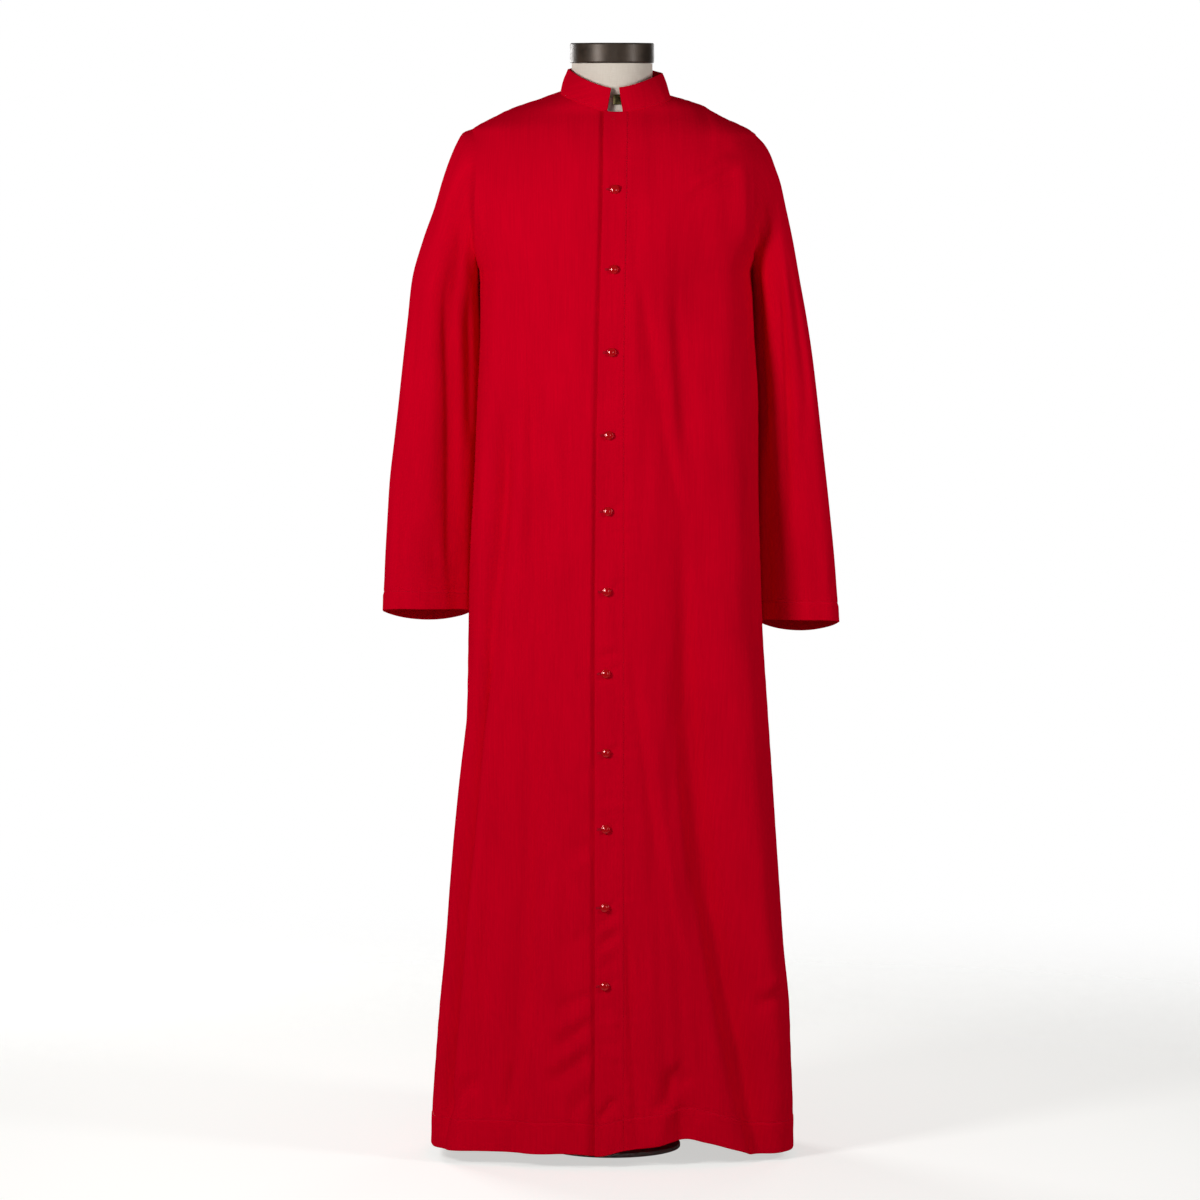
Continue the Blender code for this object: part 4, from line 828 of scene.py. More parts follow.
def turned_rings(profile, sides, centre, axis=(0.0, 0.0, 1.0)):
    """Rings of a turned shape: each point of the profile, radius and height, carried round an axis."""
    axis = unit(np.asarray(axis, float))
    helper = np.array([1.0, 0.0, 0.0]) if abs(axis[0]) < 0.8 else np.array([0.0, 0.0, 1.0])
    across = unit(np.cross(axis, helper))
    third = np.cross(axis, across)
    angle = np.arange(sides) * 2 * math.pi / sides
    around = np.cos(angle)[:, None] * across + np.sin(angle)[:, None] * third
    radius, height = np.array(profile, float).T
    return np.asarray(centre) + radius[:, None, None] * around + height[:, None, None] * axis


def rounded_corners(profile, radius):
    """The profile with each inner corner replaced by a curve of about this radius: a quadratic Bezier from
    one side of the corner to the other, in five steps."""
    points = [np.array(p, float) for p in profile]
    out = [points[0]]
    for before, corner, after in zip(points, points[1:], points[2:]):
        reach_in = min(radius, np.linalg.norm(before - corner) / 2)
        reach_out = min(radius, np.linalg.norm(after - corner) / 2)
        start = corner + (before - corner) / np.linalg.norm(before - corner) * reach_in
        end = corner + (after - corner) / np.linalg.norm(after - corner) * reach_out
        t = np.linspace(0, 1, 6)[:, None]
        out.extend((1 - t) ** 2 * start + 2 * t * (1 - t) * corner + t**2 * end)
    out.append(points[-1])
    return out


def spaced(path, normals, spacing):
    """Points, directions and normals at even spacing along a line of points."""
    path = np.asarray(path, float)
    run = run_along(path, 0)
    places = np.arange(spacing / 2, run[-1], spacing)

    def read(values):
        return np.stack([np.interp(places, run, values[:, k]) for k in range(3)], axis=1)

    direction = unit(read(np.gradient(path, axis=0) / np.maximum(np.gradient(run), 1e-9)[:, None]))
    return read(path), direction, unit(read(normals))


# a stitch's rings: place along half its length, height in radii, share of the radius
STITCH_RINGS = [(-1, -0.35, 0.45), (-0.72, 0.25, 0.95), (0, 0.55, 1), (0.72, 0.25, 0.95), (1, -0.35, 0.45)]
STITCH_SIDES = 5


def thread_stitches(name, runs, length, radius, material):
    """Many short threads in one mesh: each is a stack of small rings along its direction, arched over the
    cloth and thinner where it dives in; whole arrays place every copy at its centre and direction."""
    centres, directions, normals = (np.concatenate(parts) for parts in zip(*runs))
    sideways = unit(np.cross(normals, directions))
    angle = np.arange(STITCH_SIDES) * 2 * math.pi / STITCH_SIDES
    template = np.array([
        (place * length / 2, share * radius * math.cos(a), arch * radius + share * radius * math.sin(a))
        for place, arch, share in STITCH_RINGS for a in angle
    ])
    axes = np.stack([directions, sideways, normals], axis=1)
    vertices = (centres[:, None, :] + template @ axes).reshape(-1, 3)
    ring = np.arange(len(template)).reshape(-1, STITCH_SIDES)
    after = np.roll(ring, -1, axis=1)
    sides = np.stack([ring[:-1].ravel(), ring[1:].ravel(), after[1:].ravel(), after[:-1].ravel()], axis=1)
    ends = np.stack([ring[0], ring[-1][::-1]])
    starts = len(template) * np.arange(len(centres))[:, None, None]
    faces = (sides + starts).reshape(-1, 4).tolist() + (ends + starts).reshape(-1, STITCH_SIDES).tolist()
    return new_object(name, vertices, faces, material, sharp=80)


# ---- materials --------------------------------------------
NOISE_SPAN = {"From Min": 0.3, "From Max": 0.7}    # where nearly all of a noise lies
WHITE = (1.0, 1.0, 1.0, 1.0)


def linear(hex_colour):
    """Linear RGBA of an sRGB hex colour."""
    parts = [int(hex_colour[i:i + 2], 16) / 255 for i in (1, 3, 5)]
    return tuple(c / 12.92 if c <= 0.04045 else ((c + 0.055) / 1.055) ** 2.4 for c in parts) + (1.0,)


def shaded(colour, factor):
    """The colour times a factor, or a factor for each of its three parts, up to full."""
    return (*np.minimum(1.0, np.multiply(colour[:3], factor)), 1.0)


def add_node(tree, kind, inputs=None, **settings):
    """Add the shader node of this kind. Settings are its attributes; inputs are its sockets' values, or what
    they link to: a socket, or a node, which stands for its first output."""
    node = tree.nodes.new("ShaderNode" + kind)
    for key, value in settings.items():
        setattr(node, key, value)
    for key, value in (inputs or {}).items():
        if isinstance(value, bpy.types.Node):
            value = value.outputs[0]
        if isinstance(value, bpy.types.NodeSocket):
            tree.links.new(value, node.inputs[key])
        else:
            node.inputs[key].default_value = value
    return node


def new_material(name, uv_map=None):
    """A material, its empty node tree, and what its patterns read: the piece's own UV map if one is named,
    and otherwise its Object coordinates."""
    material = bpy.data.materials.new(name)
    material.use_nodes = True
    tree = material.node_tree
    tree.nodes.clear()
    if uv_map:
        return material, tree, add_node(tree, "UVMap", uv_map=uv_map).outputs["UV"]
    return material, tree, add_node(tree, "TexCoord").outputs["Object"]


def finished(material, inputs):
    """The material, with a Principled shader at its output."""
    tree = material.node_tree
    shader = add_node(tree, "BsdfPrincipled", inputs)
    add_node(tree, "OutputMaterial", {"Surface": shader})
    return material


def stretched_noise(tree, vector, width, length, detail=2.0):
    """Noise whose grain is this wide and this long, in metres."""
    grain = add_node(tree, "Mapping", {"Vector": vector, "Scale": (1 / width, 1 / length, 1 / width)})
    return add_node(tree, "TexNoise", {"Vector": grain, "Scale": 1.0, "Detail": detail, "Roughness": 0.5})


def woven_height(tree, vector, spacing):
    """Plain weave: the product of a wave across and a wave along, without its sign, is a pillow at each
    crossing of two threads. A Wave texture's bands repeat at pi / 10 over its scale."""
    height = 4.0
    for direction in ("X", "Y"):
        wave = add_node(tree, "TexWave", {"Vector": vector, "Scale": math.pi / 10 / (2 * spacing)},
                        wave_type="BANDS", bands_direction=direction)
        level = add_node(tree, "Math", {0: wave.outputs["Fac"], 1: 0.5}, operation="SUBTRACT")
        height = add_node(tree, "Math", {0: height, 1: level}, operation="MULTIPLY")
    return add_node(tree, "Math", {0: height}, operation="ABSOLUTE")


def poplin_material(colour, spacing):
    """Piece-dyed polyester-cotton poplin, woven and calendered: an even saturated red with faint upright
    slubs, a tight plain weave and a low, broad gloss that takes the cloth's own colour."""
    material, tree, uv = new_material("red_polycotton_poplin_woven", "cloth")
    slub = stretched_noise(tree, uv, 1.6 * MM, 60 * MM)
    cloud = stretched_noise(tree, uv, 45 * MM, 110 * MM, 3.0)
    streaks = add_node(tree, "MapRange", {"Value": slub, **NOISE_SPAN, "To Max": 0.55})
    patches = add_node(tree, "MapRange", {"Value": cloud, **NOISE_SPAN, "To Max": 0.45})
    tone = add_node(tree, "Math", {0: streaks, 1: patches}, operation="ADD")
    base = add_node(tree, "Mix", {0: tone, 6: shaded(colour, 0.90), 7: shaded(colour, 1.07)},
                    data_type="RGBA")
    weave = woven_height(tree, uv, spacing)
    threads = add_node(tree, "Math", {0: weave, 1: 0.6}, operation="MULTIPLY")
    grain = add_node(tree, "Math", {0: slub, 1: 0.8, 2: threads}, operation="MULTIPLY_ADD")
    bump = add_node(tree, "Bump", {"Strength": 0.35, "Distance": 0.12 * MM, "Height": grain})
    gloss = add_node(tree, "MapRange", {"Value": cloud, **NOISE_SPAN, "To Min": 0.56, "To Max": 0.64})
    return finished(material, {
        "Base Color": base.outputs[2], "Roughness": gloss, "IOR": 1.45, "Specular IOR Level": 0.0,
        "Sheen Weight": 0.18, "Sheen Roughness": 0.45, "Sheen Tint": (1.0, 0.0, 0.03, 1.0), "Normal": bump})


def thread_material(colour):
    """Spun polyester sewing thread dyed to match: a little duller than the cloth, with a fine twist."""
    material, tree, place = new_material("red_polyester_sewing_thread_spun")
    twist = stretched_noise(tree, place, 0.4 * MM, 0.4 * MM)
    base = add_node(tree, "Mix", {0: twist, 6: shaded(colour, 0.85), 7: colour}, data_type="RGBA")
    return finished(material, {
        "Base Color": base.outputs[2], "Roughness": 0.5, "IOR": 1.5, "Specular IOR Level": 0.4,
        "Specular Tint": (1.0, 0.25, 0.28, 1.0)})


def button_material(colour):
    """Cast polyester resin, tumbled to a full gloss: deep red with sharp, slightly red highlights."""
    material, tree, place = new_material("red_polyester_resin_cast_polished")
    cloud = stretched_noise(tree, place, 3 * MM, 3 * MM)
    base = add_node(tree, "Mix", {0: cloud, 6: shaded(colour, 0.85), 7: colour}, data_type="RGBA")
    scuffs = stretched_noise(tree, place, 0.9 * MM, 0.9 * MM)
    wear = add_node(tree, "MapRange", {"Value": scuffs, **NOISE_SPAN, "To Min": 0.05, "To Max": 0.10})
    return finished(material, {
        "Base Color": base.outputs[2], "Roughness": wear, "IOR": 1.54, "Specular IOR Level": 1.0,
        "Specular Tint": (1.0, 0.45, 0.46, 1.0)})


def linen_material(colour, spacing):
    """Natural linen cover, plain woven and stretched over the form: pale, matt, with slubs both ways, and
    painted shade in the hollows between the threads. The threads are drawn at 1.1 mm, twice their size, so
    they show."""
    material, tree, place = new_material("natural_linen_cover_woven")
    split = add_node(tree, "SeparateXYZ", {"Vector": place})
    # round the neck the angle times the neck's radius is the way across the cloth
    angle = add_node(tree, "Math", {0: split.outputs["X"], 1: split.outputs["Y"]}, operation="ARCTAN2")
    across = add_node(tree, "Math", {0: angle, 1: FORM_NECK[-1][1]}, operation="MULTIPLY")
    flat = add_node(tree, "CombineXYZ", {"X": across, "Y": split.outputs["Z"]})
    warp = stretched_noise(tree, flat, 1.2 * MM, 14 * MM)
    weft = stretched_noise(tree, flat, 14 * MM, 1.2 * MM)
    weave = woven_height(tree, flat, spacing)
    both = add_node(tree, "Math", {0: warp, 1: weft}, operation="ADD")
    slubs = add_node(tree, "Math", {0: both, 1: 0.5}, operation="MULTIPLY")
    patches = add_node(tree, "MapRange", {"Value": slubs, **NOISE_SPAN, "To Max": 0.65})
    # the weave's hollows take the darker colour as painted shade between the threads; the slub patches are
    # the linen's own uneven tone
    tone = add_node(tree, "Math", {0: weave, 1: 0.35, 2: patches}, operation="MULTIPLY_ADD")
    gap_shade_and_slub_tone = shaded(colour, (0.86, 0.83, 0.79))
    base = add_node(tree, "Mix", {0: tone, 6: gap_shade_and_slub_tone, 7: colour}, data_type="RGBA")
    height = add_node(tree, "Math", {0: weave, 1: slubs}, operation="ADD")
    bump = add_node(tree, "Bump", {"Strength": 0.5, "Distance": 0.25 * MM, "Height": height})
    return finished(material, {
        "Base Color": base.outputs[2], "Roughness": 0.9, "Specular IOR Level": 0.15, "Sheen Weight": 0.15,
        "Sheen Roughness": 0.6, "Sheen Tint": (1.0, 0.95, 0.88, 1.0), "Normal": bump})


def cap_material(colour):
    """Spun steel cap, bronze-brown lacquer over it: dark and warm, with soft tall reflections that the fine
    turning lines and a few long stains break up."""
    material, tree, place = new_material("bronze_brown_lacquered_spun_metal")
    # turning lines 0.8 mm apart, each running some 33 mm round the cap before it breaks
    turning = add_node(tree, "Mapping", {"Vector": place, "Scale": (30, 30, 1 / (0.8 * MM))})
    lines = add_node(tree, "TexNoise", {"Vector": turning, "Scale": 1.0, "Detail": 2.0})
    stain = stretched_noise(tree, place, 12 * MM, 30 * MM, 3.0)
    patches = add_node(tree, "MapRange", {"Value": stain, **NOISE_SPAN})
    base = add_node(tree, "Mix", {0: patches, 6: shaded(colour, 0.6), 7: colour}, data_type="RGBA")
    gloss = add_node(tree, "MapRange", {"Value": stain, **NOISE_SPAN, "To Min": 0.40, "To Max": 0.50})
    bump = add_node(tree, "Bump", {"Strength": 0.12, "Distance": 0.1 * MM, "Height": lines})
    return finished(material, {
        "Base Color": base.outputs[2], "Metallic": 0.45, "Roughness": gloss, "Coat Weight": 0.12,
        "Coat Roughness": 0.30, "Normal": bump})


def brass_material(colour):
    """Stamped brass, darkened with age: brown in the hollows, brighter where it rubs."""
    material, tree, place = new_material("aged_brass_stamped")
    patina = stretched_noise(tree, place, 2.5 * MM, 2.5 * MM, 3.0)
    patches = add_node(tree, "MapRange", {"Value": patina, **NOISE_SPAN})
    base = add_node(tree, "Mix", {0: patches, 6: shaded(colour, 0.35), 7: colour}, data_type="RGBA")
    wear = add_node(tree, "MapRange", {"Value": patina, **NOISE_SPAN, "To Min": 0.30, "To Max": 0.55})
    return finished(material, {"Base Color": base.outputs[2], "Metallic": 0.9, "Roughness": wear})


def paint_material(colour):
    """Powder coated steel: off-white, satin, with the faint orange peel of a baked coat."""
    material, tree, place = new_material("white_powder_coat_on_steel")
    peel = stretched_noise(tree, place, 1.4 * MM, 1.4 * MM)
    base = add_node(tree, "Mix", {0: peel, 6: shaded(colour, 0.96), 7: colour}, data_type="RGBA")
    bump = add_node(tree, "Bump", {"Strength": 0.2, "Distance": 0.05 * MM, "Height": peel})
    return finished(material, {"Base Color": base.outputs[2], "Roughness": 0.42, "IOR": 1.5, "Normal": bump})


def steel_material(colour):
    """Drawn steel tube, brushed along its length: fine upright lines that widen the highlight."""
    material, tree, place = new_material("brushed_steel_tube_drawn")
    lines_apart, lines_long = 1 / (0.3 * MM), 1 / (50 * MM)
    brushed = add_node(tree, "Mapping", {"Vector": place, "Scale": (lines_apart, lines_apart, lines_long)})
    lines = add_node(tree, "TexNoise", {"Vector": brushed, "Scale": 1.0, "Detail": 2.0})
    gloss = add_node(tree, "MapRange", {"Value": lines, **NOISE_SPAN, "To Min": 0.22, "To Max": 0.40})
    return finished(material, {"Base Color": colour, "Metallic": 1.0, "Roughness": gloss})


def floor_material(colour, glow, solid_radius, clear_radius):
    """Matt paper sweep: pale and plain, lit from behind so it looks nearly white, fading into the backdrop
    beyond the object. Only what looks straight at it sees the glow, so it doesn't light the object."""
    material, tree, place = new_material("matt_paper_sweep")
    distance = add_node(tree, "VectorMath", {0: place}, operation="LENGTH").outputs["Value"]
    edges = {"From Min": solid_radius, "From Max": clear_radius}
    fade = add_node(tree, "MapRange", {"Value": distance, **edges}, interpolation_type="SMOOTHSTEP")
    paper = add_node(tree, "BsdfPrincipled", {
        "Base Color": colour, "Roughness": 0.9, "Specular IOR Level": 0.1})
    seen = add_node(tree, "LightPath").outputs["Is Camera Ray"]
    strength = add_node(tree, "Math", {0: seen, 1: glow}, operation="MULTIPLY")
    lit = add_node(tree, "Emission", {"Color": colour, "Strength": strength})
    both = add_node(tree, "AddShader", {0: paper, 1: lit})
    clear = add_node(tree, "BsdfTransparent")
    mix = add_node(tree, "MixShader", {0: fade, 1: both, 2: clear})
    add_node(tree, "OutputMaterial", {"Surface": mix})
    return material


# ---- cloth panels -----------------------------------------
EDGE_STEPS = (0.1 * MM, 0.35 * MM, 0.8 * MM, 1.5 * MM, 2.5 * MM, 4.0 * MM)
YOKE_ROWS = 50
EDGE_SAMPLES = 120


def stitch_turn(z):
    """Where the wearer's left front meets the band."""
    return angle_at_x(stitch_x(z), z)


def underlap_turn(z):
    """Where the wearer's right front ends, under the band."""
    return -angle_at_x(stitch_x(z) - UNDERLAP_SHORT_OF_STITCH, z)


def centre_back_turn(z):
    """The back's two halves meet on the centre line."""
    return 0.0 * np.asarray(z, float)


def yoke_grid(side, face, centre_turn, across):
    """Coons patch in arc length and height between underarm line, armhole, shoulder and neck, centre line:
    the sum of the two blends of opposite edges less the blend of the four corners."""
    quarter = QUARTERS[side, face]
    tip = SHOULDER_TIP_Z[side]
    tau = np.linspace(0, 1, YOKE_ROWS + 1)
    fraction = (1 - np.cos(np.pi * tau)) / 2
    arm_z = UNDERARM_Z + fraction * (tip - UNDERARM_Z)
    arm_x, arm_y = armhole_at(fraction, side, face)
    arm_turn = np.arctan2(arm_x, np.abs(arm_y))
    arm_arc = quarter.arc(arm_turn, arm_z)
    first_arc = quarter.arc(centre_turn(UNDERARM_Z), UNDERARM_Z)
    low_arc = first_arc + across * (arm_arc[0] - first_arc)
    low_z = np.full(len(across), UNDERARM_Z)
    # neck edge from the centre line to the neck point, then the shoulder seam down to the tip
    start = float(centre_turn(NECK_FRONT_Z if face == "front" else NECK_BACK_Z))
    neck_turns = np.linspace(start, math.pi / 2, EDGE_SAMPLES)
    neck_zs = neck_z(theta_of(neck_turns, side, face))
    shoulder_zs = np.linspace(NECK_SIDE_Z[side], tip, EDGE_SAMPLES)[1:]
    edge_turn = np.concatenate([neck_turns, np.full(EDGE_SAMPLES - 1, math.pi / 2)])
    edge_z = np.concatenate([neck_zs, shoulder_zs])
    run = run_along(skin(theta_of(edge_turn, side, face), edge_z, with_folds=False), 0)
    neck_run = run[EDGE_SAMPLES - 1]
    corner = int(np.argmin(np.abs(across - neck_run / run[-1])))
    split = across[corner]
    on_neck = neck_run * across[:corner + 1] / split
    on_shoulder = neck_run + (run[-1] - neck_run) * (across[corner + 1:] - split) / (1 - split)
    picks = np.concatenate([on_neck, on_shoulder])
    top_turn = np.interp(picks, run, edge_turn)
    top_z = np.interp(picks, run, edge_z)
    top_arc = quarter.arc(top_turn, top_z)
    centre_z = UNDERARM_Z + tau * (top_z[0] - UNDERARM_Z)
    centre_arc = quarter.arc(centre_turn(centre_z), centre_z)
    u = across[None, :]
    v = tau[:, None]

    def coons(low, top, first, last):
        edges = (1 - v) * low[None, :] + v * top[None, :] + (1 - u) * first[:, None] + u * last[:, None]
        corners = (1 - u) * (1 - v) * low[0] + u * (1 - v) * low[-1] + (1 - u) * v * top[0] + u * v * top[-1]
        return edges - corners

    arc = coons(low_arc, top_arc, centre_arc, arm_arc)
    height = coons(low_z, top_z, centre_z, arm_z)
    turn = quarter.turn(arc, height)
    turn[-1] = top_turn
    turn[:, -1] = np.minimum(arm_turn, math.pi / 2)
    turn[:, 0] = centre_turn(height[:, 0])
    return turn, height, arc


def rows_near_hem(hem, first):
    """Distances from a turned edge of the rows beside it: close at the edge, then every 4 mm from the first
    one, then close again on both sides of the line of stitching."""
    at_line = (hem + beside * MM for beside in (-2.2, -1.1, 0.0, 1.1, 2.4))
    return (*EDGE_STEPS, *np.arange(first, hem - 3 * MM, 4 * MM), *at_line)


class Panel:
    """Fine grid of one half panel from hem to neck: angles, heights, arcs and distances to its edges."""

    def __init__(self, side, face, centre_turn, step, hem, lifted=False):
        quarter = QUARTERS[side, face]
        width = float(quarter.arc(math.pi / 2, HEM_MEAN_Z))
        across = graded(width, step, EDGE_STEPS, EDGE_STEPS)
        turn_up, z_up, arc_up = yoke_grid(side, face, centre_turn, across)
        skirt = UNDERARM_Z - HEM_MEAN_Z
        level = graded(skirt, 1.35 * step, rows_near_hem(hem, 7 * MM))[:-1, None]
        z_mean = HEM_MEAN_Z + level * skirt
        first = quarter.arc(centre_turn(z_mean), z_mean)
        last = quarter.arc(math.pi / 2, z_mean)
        arc_low = first + across[None, :] * (last - first)
        turn_low = quarter.turn(arc_low, z_mean + 0 * arc_low)
        turn_low[:, :1] = centre_turn(z_mean)
        turn_low[:, -1] = math.pi / 2
        hem_edge = hem_z(theta_of(turn_low, side, face))
        z_low = hem_edge + level * (UNDERARM_Z - hem_edge)
        turn = np.vstack([turn_low, turn_up])
        self.side, self.face = side, face
        self.z = np.vstack([z_low, z_up])
        self.arc = side * np.vstack([arc_low, arc_up])
        self.theta = theta_of(turn, side, face)
        self.base = skin(self.theta, self.z, lifted=lifted)
        self.normal = skin_normal(self.theta, self.z, lifted=lifted)
        round_run = run_along(self.base, 1)
        up_run = run_along(self.base, 0)
        if face == "front":
            self.base[..., 1] -= corner_forward(round_run[:, -1:] - round_run, self.z)
        self.from_centre = round_run
        self.from_side = round_run[:, -1:] - round_run
        self.from_hem = up_run
        self.from_top = up_run[-1:] - up_run


def corner_forward(from_side, z):
    """How far the front's outer corner stands forward: a bell beside the side seam, nothing at the seam."""
    bell = np.exp(-(((from_side - CORNER_FROM_SEAM) / CORNER_HALF_WIDTH) ** 2))
    return smooth_table(CORNER_FORWARD[:, 0], CORNER_FORWARD[:, 1], z) * bell * ease(from_side / 0.03)


def loose_field(arc, z, face):
    """Creases and unevenness of the front or the back. The front's run on into the band."""
    table = FRONT_CREASES if face == "front" else BACK_CREASES
    return crease_field(arc, z, table) + unevenness(arc, z, SEEDS[face])


def body_offset(panel):
    """Creases, unevenness and seams of a half panel, as one distance along the skin's normal."""
    seed = SEEDS[panel.face]
    offset = loose_field(panel.arc, panel.z, panel.face)
    offset *= ease(panel.from_side / CALM_AT_SIDE) * ease(panel.from_top / CALM_AT_TOP)
    below_tip = np.clip(SHOULDER_TIP_Z[panel.side] - panel.z, 0, None)
    offset += seam_roll(panel.from_side, 0.35 * MM) * (1 - np.exp(-((below_tip / 0.04) ** 2)))
    offset += seam_roll(panel.from_top, 0.4 * MM)
    offset += puckers(panel.z, panel.from_side, 7 * MM, 0.10 * MM, seed + 3, 0.022)
    offset += puckers(panel.arc, panel.from_top, 5 * MM, 0.14 * MM, seed + 5, 0.012)
    return offset


def hem_offset(from_hem, run, hem, seed):
    """The turned-up hem: a little proud below its line of stitching, sunk at it, puckered beside it."""
    proud = 0.30 * MM * ease((hem - from_hem) / (2 * MM))
    beside = puckers(run, np.abs(from_hem - hem), 5 * MM, 0.20 * MM, seed, 0.011)
    return proud + groove(from_hem - hem) + beside


def hem_half(from_hem, single, hem):
    """Half thickness of the wall: one layer above the hem's stitching, two below it, round at the edge."""
    half = single * (1 + ease((hem - from_hem) / (1.5 * MM)))
    return half * rim(from_hem, 2 * single)


def panel_cloth(panel, settings, extra=0.0):
    """Middle points, half thickness and cloth coordinates of a half panel."""
    hem = hem_offset(panel.from_hem, panel.arc, settings.hem_depth, SEEDS["hem"])
    offset = body_offset(panel) + hem + extra
    middle = panel.base + panel.normal * offset[..., None]
    half = hem_half(panel.from_hem, settings.cloth_thickness / 2, settings.hem_depth)
    uv = np.stack([panel.arc, panel.z], axis=-1)
    return middle, half, uv


def hem_run(outer, normal, from_hem, settings):
    """Places of the hem's stitches, along the row nearest to its line."""
    row = int(np.argmin(np.abs(from_hem[:, 0] - settings.hem_depth)))
    return spaced(outer[row], normal[row], settings.stitch_spacing)


# ---- the band ---------------------------------------------
BAND_ROW_STEP = 3.6 * MM
BAND_MEAN_WIDTH = 38.6 * MM
# wave creases across the band, in mm: x and z at each end, bow, half widths, lean, depth
BAND_CREASES = [
    (-22, 330, 14, 352, 2, 5, 6, 0, -1.5),
    (-22, 316, 14, 338, 2, 5, 6, 0, 1.4),
    (-21, 300, 14, 322, 2, 5, 6, 0, -1.7),
    (-21, 284, 12, 306, 2, 5, 6, 0, 1.4),
    (-20, 268, 12, 288, 1, 5, 6, 0, -1),
    (-22, 214, 14, 219, 1, 5, 6, 0, -1),
    (-22, 196, 14, 199, 1, 6, 6, 0, 0.8),
    (-22, 172, 14, 168, 1, 5, 6, 0, -1),
    (-22, 154, 14, 150, 1, 5, 6, 0, 0.8),
    (-18, 62, 8, 98, 2, 6, 8, 0, -4.2),
    (-16, 30, 12, 62, 2, 7, 8, 0, 3.3),
    (-22, 500, 12, 512, 1, 5, 6, 0, -0.8),
    (-22, 486, 12, 494, 1, 5, 6, 0, 0.6),
    (-22, 696, 10, 702, 1, 4, 5, 0, -1.4),
    (-22, 708, 12, 716, 1, 4, 5, 0, 0.8),
    (-22, 930, 12, 946, 1, 5, 7, 0, -0.8),
    (-18, 1040, 14, 1060, 1, 5, 7, 0, -0.6),
    (-14, 1160, 15, 1180, 1, 5, 7, 0, -0.6),
]
# the same beside a button, from its centre
BUTTON_CREASES = [
    (3, -1, 22, 13, 1, 3.5, 4.5, 0, -0.9),
    (-14, -3, 2, -9, 1, 3, 4, 0, -0.45),
]
BAND_FLARE = 5.0 * MM         # the closing edge swings out this far at the hem
BAND_FLARE_STARTS_Z = 0.17


def button_places():
    """Centre x and z, and radius, of each button's node, from the top down."""
    places = []
    for number in range(1, len(BUTTON_TIPS) + 1):
        low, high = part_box(f"button_{number:02d}")
        places.append(((low[0] + high[0]) / 2, (low[2] + high[2]) / 2, (high[0] - low[0]) / 2))
    return places


def button_drag(x, z):
    """Pulls round each button: spokes that start beside it and die away, and a crease to each side."""
    total = np.zeros(np.shape(x))
    for number, (bx, bz, _) in enumerate(button_places()):
        away = np.hypot(x - bx, z - bz)
        angle = np.arctan2(z - bz, x - bx)
        spokes = np.cos(5 * angle + 1.7 * number) + 0.6 * np.cos(8 * angle - 2.3 * number)
        total += 0.30 * MM * spokes * np.exp(-away / (8 * MM)) * ease(away / (7 * MM))
        total += crease_field(x - bx, z - bz, BUTTON_CREASES)
    return total


def band_surface(x, z):
    """Middle point and normal of the band at an x and a height: the lifted skin moved along its normal."""
    theta = angle_at_x(x, z)
    base = skin(theta, z, lifted=True)
    normal = skin_normal(theta, z, lifted=True)
    stitch = stitch_x(z)
    inwards = np.clip((stitch - x) / (stitch - closing_x(z)), 0, 1)
    own = (crease_field(x, z, BAND_CREASES) + button_drag(x, z)) * ease(inwards / 0.25)
    flare = BAND_FLARE * ease((BAND_FLARE_STARTS_Z - z) / BAND_FLARE_STARTS_Z) * inwards**1.5
    calm = ease((neck_z(theta) - z) / CALM_AT_TOP)
    offset = loose_field(x, z, "front") * calm + own + flare
    return base + normal * offset[..., None], normal


def band_grid(hem_depth):
    """x and z of a grid from hem to neck and from the closing edge to the stitch line."""
    share = graded(BAND_MEAN_WIDTH, 2.0 * MM, EDGE_STEPS, EDGE_STEPS)[None, :]
    length = NECK_FRONT_Z - HEM_MEAN_Z
    near_hem = (*EDGE_STEPS, *(hem_depth + beside * MM for beside in (-3.0, -1.1, 0.0, 1.1, 3.0)))
    level = graded(length, BAND_ROW_STEP, near_hem, EDGE_STEPS)[:, None]
    z = HEM_MEAN_Z + level * length + 0 * share
    for _ in range(2):
        x = closing_x(z) + share * (stitch_x(z) - closing_x(z))
        theta = angle_at_x(x, z)
        hem = hem_z(theta)
        z = hem + level * (neck_z(theta) - hem)
    return closing_x(z) + share * (stitch_x(z) - closing_x(z)), z


# ---- sleeves ----------------------------------------------
SLEEVE_SIDES = 112
SLEEVE_ROW_STEP = 4.2 * MM


def armhole_ring(side):
    """Seam points from the shoulder tip down the front, through the underarm and up the back."""
    half = SLEEVE_SIDES // 2
    fraction = (1 - np.cos(np.pi * np.linspace(0, 1, half + 1))) / 2
    z = UNDERARM_Z + fraction * (SHOULDER_TIP_Z[side] - UNDERARM_Z)
    parts = []
    for face, order in (("front", slice(half, 0, -1)), ("back", slice(0, half))):
        x, y = armhole_at(fraction[order], side, face)
        theta = theta_of(np.arctan2(x, np.abs(y)), side, face)
        parts.append(skin(theta, z[order]))
    return np.concatenate(parts)


def sleeve_ovals(side, rows, phi, power, back):
    """Ovals hung between the sleeve's outer and inner lines, for rows of sizes and angles round the sleeve,
    each with its own power and turned by moving its inner line back."""
    outer_x, outer_z, inner_x, inner_z, half_depth, centre_y = (rows[:, k, None] for k in range(6))
    cos, sin = np.cos(phi)[None, :], np.sin(phi)[None, :]
    x = (outer_x + inner_x) / 2 + (outer_x - inner_x) / 2 * cos
    z = (outer_z + inner_z) / 2 + (outer_z - inner_z) / 2 * cos
    y = centre_y - half_depth * np.sign(sin) * np.abs(sin) ** power[:, None] + back[:, None] * (1 - cos) / 2
    return np.stack([side * x, y, z], axis=-1)


